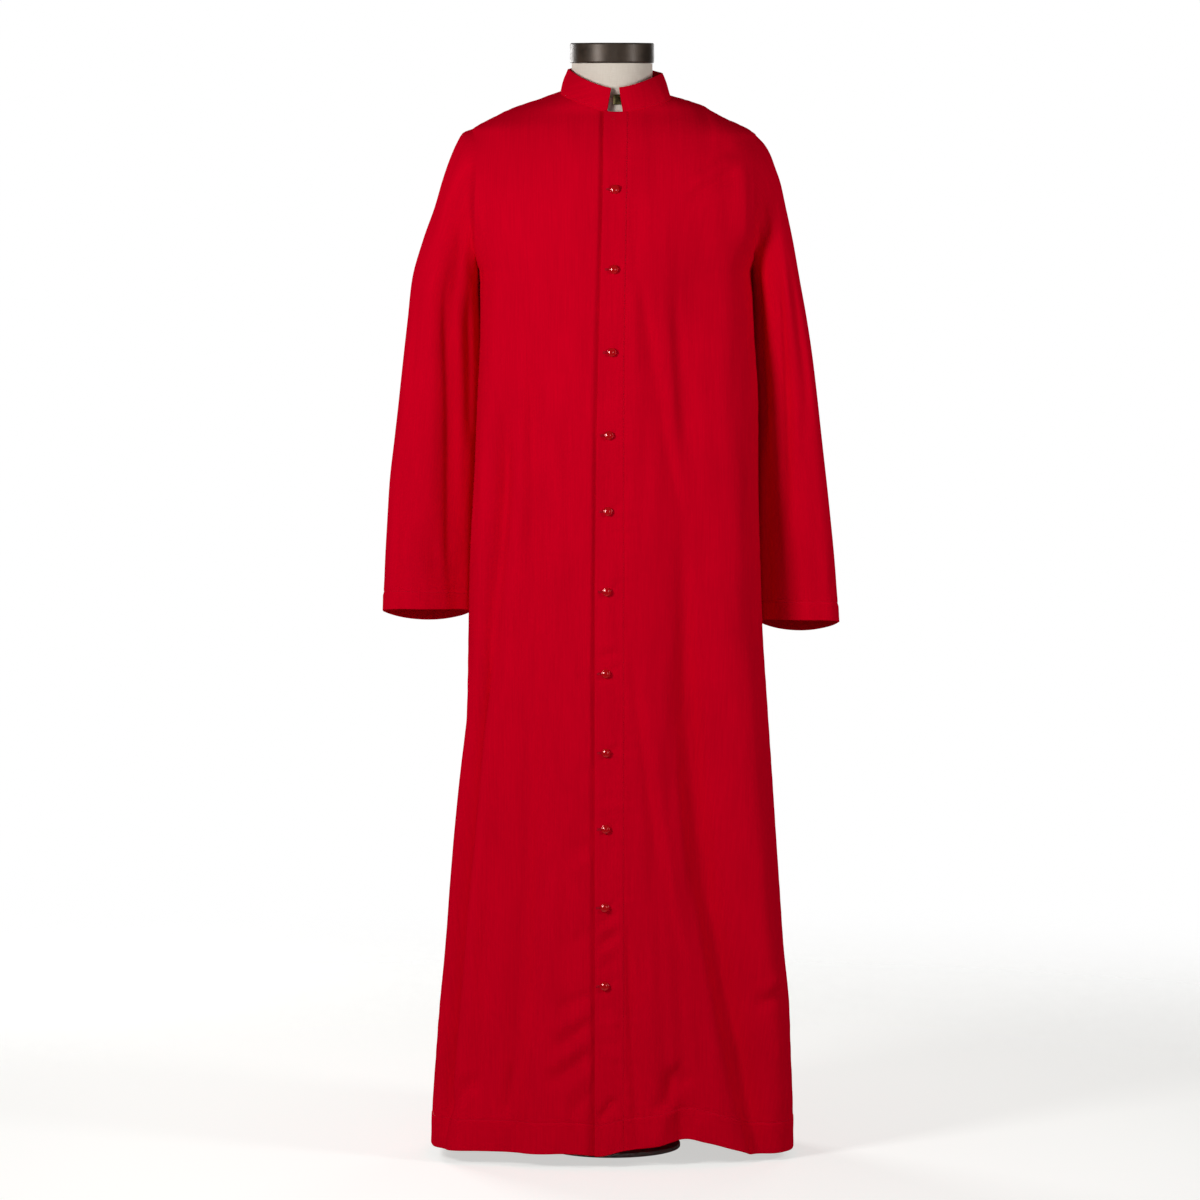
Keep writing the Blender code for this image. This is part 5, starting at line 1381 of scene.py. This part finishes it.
def sleeve_surface(side, k):
    """Middle points of the sleeve at ring numbers k: the armhole seam, blending into ovals, folds added."""
    seam = armhole_ring(side)
    phi = np.arange(SLEEVE_SIDES) * 2 * math.pi / SLEEVE_SIDES
    tip, under = seam[0], seam[SLEEVE_SIDES // 2]
    mean_depth = sum(ARMHOLE_DEPTH.values()) / 2
    first_row = np.array([[abs(tip[0]), tip[2], abs(under[0]), under[2], mean_depth, 0.0]])
    table = np.vstack([first_row, SLEEVE_ROWS[side]])
    order = np.arange(len(table))
    shape = [smooth_table(order, values, k) for values in (SLEEVE_ROUND, SLEEVE_BACK[side])]
    rings = sleeve_ovals(side, smooth_rows(table, k), phi, *shape)
    blend = smooth_table(np.arange(len(SLEEVE_BLEND)), SLEEVE_BLEND, k)
    rings += blend[:, None, None] * (seam - sleeve_ovals(side, first_row, phi, *(v[:1] for v in shape))[0])
    away = unit(rings - rings.mean(axis=1, keepdims=True))
    step = k[:, None]
    for top_deg, end_deg, first, last, half_width, depth in SLEEVE_FOLDS[side]:
        middle = top_deg + (end_deg - top_deg) * np.clip((step - first) / (last - first), 0, 1)
        turn = (np.degrees(phi)[None, :] - middle + 180) % 360 - 180
        strength = depth * ease((step - first + 1) / 3) * ease((last + 3 - step) / 3)
        rings += (strength * np.exp(-(turn / half_width) ** 2))[..., None] * away
    count = len(table) - 1
    low_down = ease((step - CUFF_DROP_STARTS_AT) / (count - CUFF_DROP_STARTS_AT))
    rings[..., 2] -= CUFF_BACK_DROP * low_down * (0.5 - 0.5 * np.sin(phi)) ** 2
    return rings


# ---- settings ---------------------------------------------
def colour_prop(name, description, hex_colour):
    """A colour as a user's setting."""
    return bpy.props.FloatVectorProperty(
        name=name, description=description, default=linear(hex_colour), size=4, min=0, max=1,
        subtype="COLOR")


def length_prop(name, description, default, low, high):
    """A length as a user's setting."""
    return bpy.props.FloatProperty(
        name=name, description=description, default=default, min=low, max=high, subtype="DISTANCE",
        unit="LENGTH", precision=5)


def power_prop(name, description, default):
    """A lamp's power as a user's setting."""
    return bpy.props.FloatProperty(name=name, description=description, default=default, min=0, unit="POWER")


class CassockSettings(bpy.types.PropertyGroup):
    """Sizes and colours of the garment."""

    cloth_colour: colour_prop("Cloth colour", "Colour of the dyed poplin", "#DC0022")
    thread_colour: colour_prop("Thread colour", "Colour of the sewing thread", "#C8102A")
    button_colour: colour_prop("Button colour", "Colour of the resin buttons", "#C60410")
    cloth_thickness: length_prop("Cloth thickness", "One layer of cloth", 0.9 * MM, 0.2 * MM, 3 * MM)
    band_thickness: length_prop("Band thickness", "Button band, folded cloth", 1.5 * MM, 0.4 * MM, 4 * MM)
    collar_thickness: length_prop("Collar thickness", "Interfaced collar", 2.0 * MM, 0.5 * MM, 5 * MM)
    hem_depth: length_prop("Hem depth", "Cloth turned up at the hem", 43 * MM, 10 * MM, 80 * MM)
    cuff_depth: length_prop("Cuff hem depth", "Cloth turned up at the cuff", 26 * MM, 5 * MM, 60 * MM)
    grid_step: length_prop("Grid step", "Spacing of the fronts' points", 3.7 * MM, 2 * MM, 20 * MM)
    back_grid_step: length_prop("Back grid step", "Spacing of the back's points", 4.9 * MM, 2 * MM, 20 * MM)
    weave_spacing: length_prop(
        "Thread spacing", "Woven threads, drawn coarse enough to show", 0.6 * MM, 0.2 * MM, 3 * MM)
    stitch_spacing: length_prop("Stitch spacing", "A stitch and its gap", 3.4 * MM, 1 * MM, 10 * MM)
    stitch_radius: length_prop("Thread radius", "Half the thread's thickness", 0.22 * MM, 0.05 * MM, 1 * MM)


class FormSettings(bpy.types.PropertyGroup):
    """Colours of the dress form."""

    linen_colour: colour_prop("Linen colour", "Cover of the form", "#FBF1E4")
    cap_colour: colour_prop("Cap colour", "Lacquered neck cap", "#4C3E32")
    hook_colour: colour_prop("Hook colour", "Aged brass of the collar hook", "#6E6440")
    base_colour: colour_prop("Base colour", "Powder coat of the base", "#F0F0EC")
    pole_colour: colour_prop("Pole colour", "Steel of the pole", "#B4B6B8")
    linen_spacing: length_prop(
        "Linen thread spacing", "Woven threads of the cover", 1.1 * MM, 0.3 * MM, 4 * MM)


class StageSettings(bpy.types.PropertyGroup):
    """Floor and lights."""

    floor_colour: colour_prop("Floor colour", "Paper sweep", "#D6D6D4")
    floor_radius: length_prop("Floor radius", "Where the floor has faded into the backdrop", 2.6, 1, 20)
    key_power: power_prop("Key power", "Softbox in front, at the camera's left", 26.5)
    fill_power: power_prop("Fill power", "Softbox in front, at the camera's right", 15)
    front_power: power_prop("Front power", "Softbox beside the camera", 3)
    rear_power: power_prop("Rear power", "Pair of softboxes behind, the right one at a quarter", 30)
    ambient: bpy.props.FloatProperty(
        name="Ambient", description="Light from all round", default=0.07, min=0, max=5)
    floor_glow: bpy.props.FloatProperty(
        name="Floor glow", description="How much paler the floor looks than it is lit", default=0.86, min=0,
        max=1)


def cached(name, make, *values):
    """The material of this name, made on its first use."""
    return bpy.data.materials.get(name) or make(*values)


def cloth_material(settings):
    """The garment's cloth."""
    return cached("red_polycotton_poplin_woven", poplin_material, tuple(settings.cloth_colour),
                  settings.weave_spacing)


def sewing_material(settings):
    """Its thread."""
    return cached("red_polyester_sewing_thread_spun", thread_material, tuple(settings.thread_colour))


def put_in_place(node):
    """The piece takes the place of a node of the frame: the node is hidden."""
    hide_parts(node)


def lay_cloth(node, middle, half, uv, settings, ring=False):
    """The cloth piece that replaces a node, with its outer points and normals."""
    piece, outer, normal = cloth_wall(f"cloth_{node}", middle, half, uv, cloth_material(settings), ring)
    put_in_place(node)
    return piece, outer, normal


def sew(name, runs, settings, length=None, radius=None):
    """One mesh of all the stitches at these places, at the settings' own size unless a size is given."""
    length = length or settings.stitch_spacing * STITCH_SHARE
    radius = radius or settings.stitch_radius
    thread_stitches(name, runs, length, radius, sewing_material(settings))


class Builder:
    """What every operator of the cassock shares."""

    bl_options = {"REGISTER", "UNDO"}


class CASSOCK_OT_fronts(Builder, bpy.types.Operator):
    """Build the two front panels with their hems"""

    bl_idname = "cassock.fronts"
    bl_label = "Fronts"

    def execute(self, context):
        settings = context.scene.cassock
        runs = []
        for node, side, centre_turn in (
            ("front_left", LEFT, stitch_turn),
            ("front_right", RIGHT, underlap_turn),
        ):
            panel = Panel(side, "front", centre_turn, settings.grid_step, settings.hem_depth, side == LEFT)
            if side == LEFT:
                extra = seam_roll(panel.from_centre, 0.32 * MM, 3.0 * MM)
                seed = SEEDS["band seam"]
                extra = extra + puckers(panel.z, panel.from_centre, 6 * MM, 0.30 * MM, seed, 0.012)
            else:
                beside = panel.base[..., 0] - closing_x(panel.z) - 0.5 * MM
                deep = np.interp(panel.z, (0.3, 0.9), (1.6 * MM, 2.3 * MM))
                extra = -deep * np.exp(-((beside / (3.2 * MM)) ** 2))
            middle, half, uv = panel_cloth(panel, settings, extra)
            way = slice(None, None, side)
            piece, outer, normal = lay_cloth(node, middle[:, way], half[:, way], uv[:, way], settings)
            runs.append(hem_run(outer, normal, panel.from_hem[:, way], settings))
        sew("stitches_front_hem", runs, settings)
        return {"FINISHED"}


class CASSOCK_OT_back(Builder, bpy.types.Operator):
    """Build the back panel with its hem"""

    bl_idname = "cassock.back"
    bl_label = "Back"

    def execute(self, context):
        settings = context.scene.cassock
        halves = []
        for side in (LEFT, RIGHT):
            panel = Panel(side, "back", centre_back_turn, settings.back_grid_step, settings.hem_depth)
            halves.append((*panel_cloth(panel, settings), panel.from_hem))
        joined = [np.concatenate([left[:, ::-1], right[:, 1:]], axis=1) for left, right in zip(*halves)]
        middle, half, uv, from_hem = joined
        piece, outer, normal = lay_cloth("back", middle, half, uv, settings)
        sew("stitches_back_hem", [hem_run(outer, normal, from_hem, settings)], settings)
        return {"FINISHED"}


class CASSOCK_OT_band(Builder, bpy.types.Operator):
    """Build the button band with its stitching and buttonholes"""

    bl_idname = "cassock.band"
    bl_label = "Button band"

    def execute(self, context):
        settings = context.scene.cassock
        x, z = band_grid(settings.hem_depth)
        base, normal = band_surface(x, z)
        from_edge, from_hem = run_along(base, 1), run_along(base, 0)
        from_stitch = from_edge[:, -1:] - from_edge
        from_neck = from_hem[-1:] - from_hem
        offset = seam_roll(from_stitch, 0.45 * MM, 3.0 * MM) + seam_roll(from_neck, 0.6 * MM)
        gathers = puckers(z, from_stitch, 5 * MM, 0.26 * MM, SEEDS["band seam"], 0.012)
        offset += gathers * ease(from_edge / (10 * MM))
        offset += hem_offset(from_hem, x, settings.hem_depth, SEEDS["band hem"])
        middle = base + normal * offset[..., None]
        half = settings.band_thickness / 2 * rim(from_edge, settings.band_thickness / 2)
        half = half * rim(from_hem, settings.band_thickness / 2)
        uv = np.stack([x, z], axis=-1)
        piece, outer, outward = lay_cloth("button_band", middle, half, uv, settings)
        column = int(np.argmin(np.abs(from_stitch[len(from_stitch) // 2] - 1.5 * MM)))
        seam = spaced(outer[:, column], outward[:, column], settings.stitch_spacing)
        sew("stitches_band", [seam, hem_run(outer, outward, from_hem, settings)], settings)
        sew("stitches_buttonholes", self.buttonholes(settings), settings, 1.5 * MM, 0.20 * MM)
        return {"FINISHED"}

    @staticmethod
    def buttonholes(settings):
        """Short upright threads close together on both sides of each slot, and the tacks at the top of the
        band: evenly spaced places on its surface, half the band's thickness out."""
        rows = []
        along = np.arange(-BUTTONHOLE_LENGTH, 1 * MM, 0.48 * MM)
        for bx, bz, _ in button_places():
            rows += [(bx + 3 * MM + along, bz + level, (0.0, 0.0, 1.0)) for level in (-0.85 * MM, 0.85 * MM)]
        for row in range(3):
            tacks = np.arange(-2 * MM, 4.5 * MM, 1.1 * MM) + 0.4 * MM * row
            rows.append((tacks, NECK_FRONT_Z - 11 * MM + row * 1.6 * MM, (1.0, 0.0, 0.35)))
        runs = []
        for x, z, direction in rows:
            point, normal = band_surface(x, np.full(len(x), z))
            directions = np.tile(unit(np.array(direction)), (len(x), 1))
            runs.append((point + normal * settings.band_thickness / 2, directions, normal))
        return runs


class CASSOCK_OT_sleeves(Builder, bpy.types.Operator):
    """Build the two set-in sleeves with their cuff hems"""

    bl_idname = "cassock.sleeves"
    bl_label = "Sleeves"

    def execute(self, context):
        settings = context.scene.cassock
        runs = []
        for node, front, side in (
            ("sleeve_left", "cloth_front_left", LEFT),
            ("sleeve_right", "cloth_front_right", RIGHT),
        ):
            middle, half, uv, from_cuff = self.sleeve(side, settings)
            way = slice(None, None, side)
            piece, outer, normal = lay_cloth(node, middle[way], half[way], uv[way], settings, ring=True)
            row = int(np.argmin(np.abs(from_cuff[way][:, 0] - settings.cuff_depth)))
            path, outward = (np.vstack([line[row], line[row, :1]]) for line in (outer, normal))
            runs.append(spaced(path, outward, settings.stitch_spacing))
        sew("stitches_cuffs", runs, settings)
        return {"FINISHED"}

    @staticmethod
    def sleeve(side, settings):
        """Middle points, half thickness, cloth coordinates and distance from the cuff of one sleeve."""
        coarse = np.linspace(0, len(SLEEVE_ROWS[side]), 301)
        run = run_along(sleeve_surface(side, coarse), 0).mean(axis=1)
        cuff = settings.cuff_depth
        places = graded(run[-1], SLEEVE_ROW_STEP, EDGE_STEPS, rows_near_hem(cuff, 8 * MM)) * run[-1]
        base = sleeve_surface(side, np.interp(places, run, coarse))
        normal = grid_normal(base, ring=True) * side
        down = run_along(base, 0)
        from_cuff = down[-1:] - down
        column = np.arange(SLEEVE_SIDES + 1) / SLEEVE_SIDES
        arc = (column * SLEEVE_CIRCUMFERENCE)[None, :] + 0 * places[:, None]
        half_round = SLEEVE_CIRCUMFERENCE / 2
        signed = (arc[:, :-1] + half_round) % SLEEVE_CIRCUMFERENCE - half_round
        from_seam = half_round - np.abs(signed)
        loose = unevenness(signed, down, SEEDS["sleeve"] + side)
        loose += crease_field(signed, down, SLEEVE_CREASES[side])
        offset = loose * ease(down / CALM_AT_ARMHOLE) * ease(from_seam / (20 * MM))
        off_tip = 1 - np.exp(-((signed / (40 * MM)) ** 2))
        gathers = puckers(signed, down, 7 * MM, 0.20 * MM, SEEDS["armhole"] + side, 0.014)
        offset += (seam_roll(down, 0.35 * MM) + gathers) * off_tip
        offset += hem_offset(from_cuff, signed, cuff, SEEDS["cuff"] + side)
        offset += groove(from_seam, 0.8 * MM, 2.0 * MM)
        middle = base + normal * offset[..., None]
        half = hem_half(from_cuff, settings.cloth_thickness / 2, cuff)
        uv = np.stack([arc, -places[:, None] + 0 * arc], axis=-1)
        return middle, half, uv, from_cuff


class CASSOCK_OT_collar(Builder, bpy.types.Operator):
    """Build the band collar with its line of stitching"""

    bl_idname = "cassock.collar"
    bl_label = "Collar"

    def execute(self, context):
        settings = context.scene.cassock
        half = settings.collar_thickness / 2
        middle = self.surface()
        normal = grid_normal(middle)
        round_run, up_run = run_along(middle, 1), run_along(middle, 0)
        from_end = np.minimum(round_run, round_run[:, -1:] - round_run)
        from_top = up_run[-1:] - up_run
        offset = COLLAR_BULGE * np.sin(np.pi * up_run / up_run[-1:]) * ease(from_end / 0.012)
        offset += unevenness(round_run, up_run, SEEDS["collar"]) * 0.8 + seam_roll(up_run, 0.5 * MM)
        offset += groove(up_run - COLLAR_STITCH_LINE, 0.25 * MM, 0.9 * MM)
        offset += puckers(round_run, up_run, 5 * MM, 0.16 * MM, SEEDS["collar seam"], 0.009)
        middle = middle + normal * offset[..., None]
        wall = half * rim(from_end, half) * rim(from_top, half) * rim(up_run, half)
        uv = np.stack([round_run, up_run], axis=-1)
        piece, outer, outward = lay_cloth("collar", middle, wall, uv, settings)
        row = int(np.argmin(np.abs(up_run[:, 0] - COLLAR_STITCH_LINE)))
        clear = slice(len(EDGE_STEPS), -len(EDGE_STEPS))
        run = spaced(outer[row, clear], outward[row, clear], settings.stitch_spacing * 0.8)
        sew("stitches_collar", [run], settings, settings.stitch_spacing * 0.56)
        return {"FINISHED"}

    @staticmethod
    def surface():
        """Straight lines from the neck seam up to the collar's top edge, an ellipse raised at the sides."""
        v = graded(COLLAR_HEIGHT, 2.2 * MM, (*EDGE_STEPS[:4], COLLAR_STITCH_LINE), EDGE_STEPS)[:, None]
        share = graded(COLLAR_LENGTH, 2.2 * MM, EDGE_STEPS, EDGE_STEPS)[None, :]
        ends = {}
        for side, (low_x, top_x) in COLLAR_END_X.items():
            ends[side] = np.arcsin((low_x * (1 - v) + top_x * v) / COLLAR_NECK_RADIUS)
        theta = ends[LEFT] + share * (ends[RIGHT] + 2 * math.pi - ends[LEFT])
        wrapped = (theta + np.pi) % (2 * np.pi) - np.pi
        on_left = np.sin(theta) >= 0
        low_z = neck_z(wrapped)
        lifted = skin(wrapped, low_z, with_folds=False, lifted=True)
        low = np.where(on_left[..., None], lifted, skin(wrapped, low_z, with_folds=False))
        low[..., 2] += COLLAR_SEAM_LIFT
        is_front = np.cos(theta) >= 0
        rise = np.abs(np.sin(theta))
        side_z = np.where(on_left, COLLAR_TOP_Z[LEFT], COLLAR_TOP_Z[RIGHT])
        side_power = np.where(on_left, COLLAR_TOP_POWER[LEFT], COLLAR_TOP_POWER[RIGHT])
        half = np.where(on_left, COLLAR_TOP_HALF_WIDTH[LEFT], COLLAR_TOP_HALF_WIDTH[RIGHT])
        depth = np.where(is_front, COLLAR_TOP_DEPTH["front"], COLLAR_TOP_DEPTH["back"])
        front_z = COLLAR_TOP_Z["front"] + (side_z - COLLAR_TOP_Z["front"]) * rise**side_power
        back_z = COLLAR_TOP_Z["back"] + (side_z - COLLAR_TOP_Z["back"]) * rise**2
        radius = power_mean_radius(theta, half, depth, 2.0)
        top_z = np.where(is_front, front_z, back_z)
        high = np.stack([radius * np.sin(theta), -radius * np.cos(theta), top_z], axis=-1)
        return low * (1 - v[..., None]) + high * v[..., None]


class CASSOCK_OT_buttons(Builder, bpy.types.Operator):
    """Build the domed buttons"""

    bl_idname = "cassock.buttons"
    bl_label = "Buttons"

    def execute(self, context):
        settings = context.scene.cassock
        resin = cached("red_polyester_resin_cast_polished", button_material, tuple(settings.button_colour))
        pairs = zip(button_places(), BUTTON_TIPS)
        for number, ((bx, bz, radius), (sideways, up)) in enumerate(pairs, start=1):
            point, normal = band_surface(np.array([bx]), np.array([bz]))
            seat = point[0] + normal[0] * settings.band_thickness / 2
            axis = normal[0] + np.array([math.tan(math.radians(sideways)), 0.0, math.tan(math.radians(up))])
            profile = [(radius * share, height * MM) for share, height in BUTTON_PROFILE]
            places = np.linspace(0, len(profile) - 1, 4 * len(profile))
            rings = turned_rings(smooth_rows(profile, places), 40, seat, axis)
            piece = closed_tube(f"resin_button_{number:02d}", rings, resin, sharp=70)
            put_in_place(f"button_{number:02d}")
        return {"FINISHED"}


class CASSOCK_OT_hook(Builder, bpy.types.Operator):
    """Build the collar hook"""

    bl_idname = "cassock.hook"
    bl_label = "Collar hook"

    def execute(self, context):
        settings = context.scene.dress_form
        places = np.linspace(0, len(HOOK_PATH) - 1, 49)
        path = smooth_rows(HOOK_PATH, places)
        across = unit(np.gradient(path, axis=0))[:, ::-1] * (-1, 1)
        # round-cornered upright slot as cross-section, carried along the path
        angle = np.arange(20) * 2 * math.pi / 20
        corner = HOOK_WALL / 2
        sideways = corner * np.cos(angle)
        upright = np.sin(angle) * corner + np.sign(np.sin(angle)) * (HOOK_HEIGHT / 2 - corner)
        narrowing = 1 - HOOK_TIP_NARROWS * ease((places - 5.5) / 2.5)
        height = upright[None, :] * narrowing[:, None]
        x = path[:, 0, None] + across[:, 0, None] * sideways[None, :]
        y = path[:, 1, None] + across[:, 1, None] * sideways[None, :] + HOOK_LEAN * height
        rings = np.stack([x, y, HOOK_CENTRE_Z + height], axis=-1)[:, ::-1]
        brass = cached("aged_brass_stamped", brass_material, tuple(settings.hook_colour))
        piece = closed_tube("brass_collar_hook", rings, brass, sharp=50)
        put_in_place("collar_hook")
        return {"FINISHED"}


class CASSOCK_OT_form(Builder, bpy.types.Operator):
    """Build the dress form: linen cover, neck cap, pole and base"""

    bl_idname = "cassock.dress_form"
    bl_label = "Dress form"

    def execute(self, context):
        settings = context.scene.dress_form
        linen = cached("natural_linen_cover_woven", linen_material, tuple(settings.linen_colour),
                       settings.linen_spacing)
        rings = self.cover_rings(144)
        levels = smooth_rows(rings, np.linspace(0, len(rings) - 1, 8 * len(rings))).reshape(-1, 144, 3)
        cover = closed_tube("form_cover", levels, linen)
        put_in_place("form_body")
        for name, node, material, slot, corner in (
            ("neck_cap", "form_cap",
             cached("bronze_brown_lacquered_spun_metal", cap_material, tuple(settings.cap_colour)),
             "bronze_brown", 2.5 * MM),
            ("steel_pole", "form_pole",
             cached("brushed_steel_tube_drawn", steel_material, tuple(settings.pole_colour)),
             "brushed_steel", 0.8 * MM),
            ("stand_base", "form_base",
             cached("white_powder_coat_on_steel", paint_material, tuple(settings.base_colour)),
             "white_paint", 1.5 * MM),
        ):
            low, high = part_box(node)
            radius = (high[0] - low[0]) / 2
            centre = ((low[0] + high[0]) / 2, (low[1] + high[1]) / 2, 0.0)
            profile = rounded_corners([(radius * 0.5, low[2]), (radius, low[2]), (radius, high[2]),
                                       (radius * 0.5, high[2])], corner)
            piece = closed_tube(name, turned_rings(profile, 112, centre), material)
            put_in_place(node)
        return {"FINISHED"}

    @staticmethod
    def cover_rings(sides):
        """Ovals of the torso, the garment's skin drawn in at the shoulders, then ovals of the neck."""
        theta = (np.arange(sides) * 2 * math.pi / sides + math.pi) % (2 * math.pi) - math.pi

        def oval(z, half, front, back, centre, power):
            depth = np.where(np.cos(theta) >= 0, front, back)
            radius = power_mean_radius(theta, half, depth, power)
            return np.stack([radius * np.sin(theta), centre - radius * np.cos(theta), np.full(sides, z)], -1)

        rings = [oval(*row, FORM_TORSO_POWER) for row in FORM_TORSO]
        for z, share, clear, more in FORM_SHOULDER:
            height = np.full(sides, z)
            inset = clear + more * np.cos(theta) ** 2
            ring = skin(theta, height, with_folds=False) - inset[:, None] * skin_normal(theta, height)
            ring[:, 0] *= share
            rings.append(ring)
        return rings + [oval(*row, 2.0) for row in FORM_NECK]


class CASSOCK_OT_stage(Builder, bpy.types.Operator):
    """Build the floor, the lights, the backdrop and the camera"""

    bl_idname = "cassock.stage"
    bl_label = "Stage"

    def execute(self, context):
        settings = context.scene.cassock_stage
        scene = context.scene
        radius = settings.floor_radius
        rings = turned_rings([(radius, -0.02), (radius, 0.0)], 96, (0.0, 0.0, -0.0005))
        paper = cached("matt_paper_sweep", floor_material, tuple(settings.floor_colour), settings.floor_glow,
                       0.6, radius * 0.97)
        floor = closed_tube("paper_floor", rings, paper, ride=False)
        # name, azimuth from the camera in degrees (+ is to its right), distance, height, height aimed at,
        # width, height, power
        for name, azimuth, distance, height, aim, wide, tall, power in (
            ("softbox_key", -40, 2.1, 1.50, 1.42, 0.5, 0.7, settings.key_power),
            ("softbox_fill", 58, 2.2, 1.50, 1.38, 0.5, 0.8, settings.fill_power),
            ("softbox_front", 6, 2.6, 1.50, 1.40, 0.5, 0.7, settings.front_power),
            ("softbox_rear_left", -146, 2.6, 1.35, 1.00, 0.9, 1.2, settings.rear_power),
            ("softbox_rear_right", 158, 2.6, 1.35, 1.00, 0.9, 1.2, settings.rear_power / 4),
        ):
            turn = math.radians(azimuth)
            place = (distance * math.sin(turn), -distance * math.cos(turn), height)
            self.softbox(name, place, (0.0, 0.0, aim), (wide, tall), power)
        self.backdrop(scene, settings.ambient)
        lens = bpy.data.cameras.new("view")
        lens.lens = CAMERA_LENS
        lens.sensor_width = 36
        camera = bpy.data.objects.new("view", lens)
        camera.location = CAMERA_AT
        aim = Vector(CAMERA_TO) - Vector(CAMERA_AT)
        camera.rotation_euler = aim.to_track_quat("-Z", "Y").to_euler()
        scene.collection.objects.link(camera)
        scene.camera = camera
        scene.view_settings.view_transform = "Standard"
        return {"FINISHED"}

    @staticmethod
    def softbox(name, place, aim, size, power):
        """A rectangular area light that faces a point."""
        lamp = bpy.data.lights.new(name, "AREA")
        lamp.shape = "RECTANGLE"
        lamp.size, lamp.size_y = size
        lamp.energy = power
        body = bpy.data.objects.new(name, lamp)
        body.location = place
        body.rotation_euler = (Vector(aim) - Vector(place)).to_track_quat("-Z", "Y").to_euler()
        bpy.context.scene.collection.objects.link(body)

    @staticmethod
    def backdrop(scene, ambient):
        """White to look at, and a weak even light on everything else."""
        world = bpy.data.worlds.new("backdrop")
        world.use_nodes = True
        tree = world.node_tree
        tree.nodes.clear()
        seen = add_node(tree, "Background", {"Color": WHITE, "Strength": 1.0})
        lit = add_node(tree, "Background", {"Color": WHITE, "Strength": ambient})
        ray = add_node(tree, "LightPath").outputs["Is Camera Ray"]
        mix = add_node(tree, "MixShader", {0: ray, 1: lit, 2: seen})
        add_node(tree, "OutputWorld", {"Surface": mix})
        scene.world = world


OPERATORS = (
    CASSOCK_OT_form, CASSOCK_OT_fronts, CASSOCK_OT_back, CASSOCK_OT_band, CASSOCK_OT_sleeves,
    CASSOCK_OT_collar, CASSOCK_OT_buttons, CASSOCK_OT_hook, CASSOCK_OT_stage,
)
SETTINGS = {"cassock": CassockSettings, "dress_form": FormSettings, "cassock_stage": StageSettings}


class CASSOCK_PT_panel(bpy.types.Panel):
    """The cassock's pieces and settings"""

    bl_label = "Cassock"
    bl_idname = "CASSOCK_PT_panel"
    bl_space_type = "VIEW_3D"
    bl_region_type = "UI"
    bl_category = "Cassock"

    def draw(self, context):
        for operator in OPERATORS:
            self.layout.operator(operator.bl_idname)
        for name, group in SETTINGS.items():
            box = self.layout.box()
            for key in group.__annotations__:
                box.prop(getattr(context.scene, name), key)


def register():
    """Register the settings, operators and panel."""
    for cls in (*SETTINGS.values(), *OPERATORS, CASSOCK_PT_panel):
        bpy.utils.register_class(cls)
    for name, group in SETTINGS.items():
        setattr(bpy.types.Scene, name, bpy.props.PointerProperty(type=group))


def unregister():
    """Take them away again."""
    for name in SETTINGS:
        delattr(bpy.types.Scene, name)
    for cls in reversed((*SETTINGS.values(), *OPERATORS, CASSOCK_PT_panel)):
        bpy.utils.unregister_class(cls)


def main():
    """Register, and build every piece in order."""
    register()
    for operator in OPERATORS:
        group, name = operator.bl_idname.split(".")
        getattr(getattr(bpy.ops, group), name)()


if __name__ == "__main__":
    main()
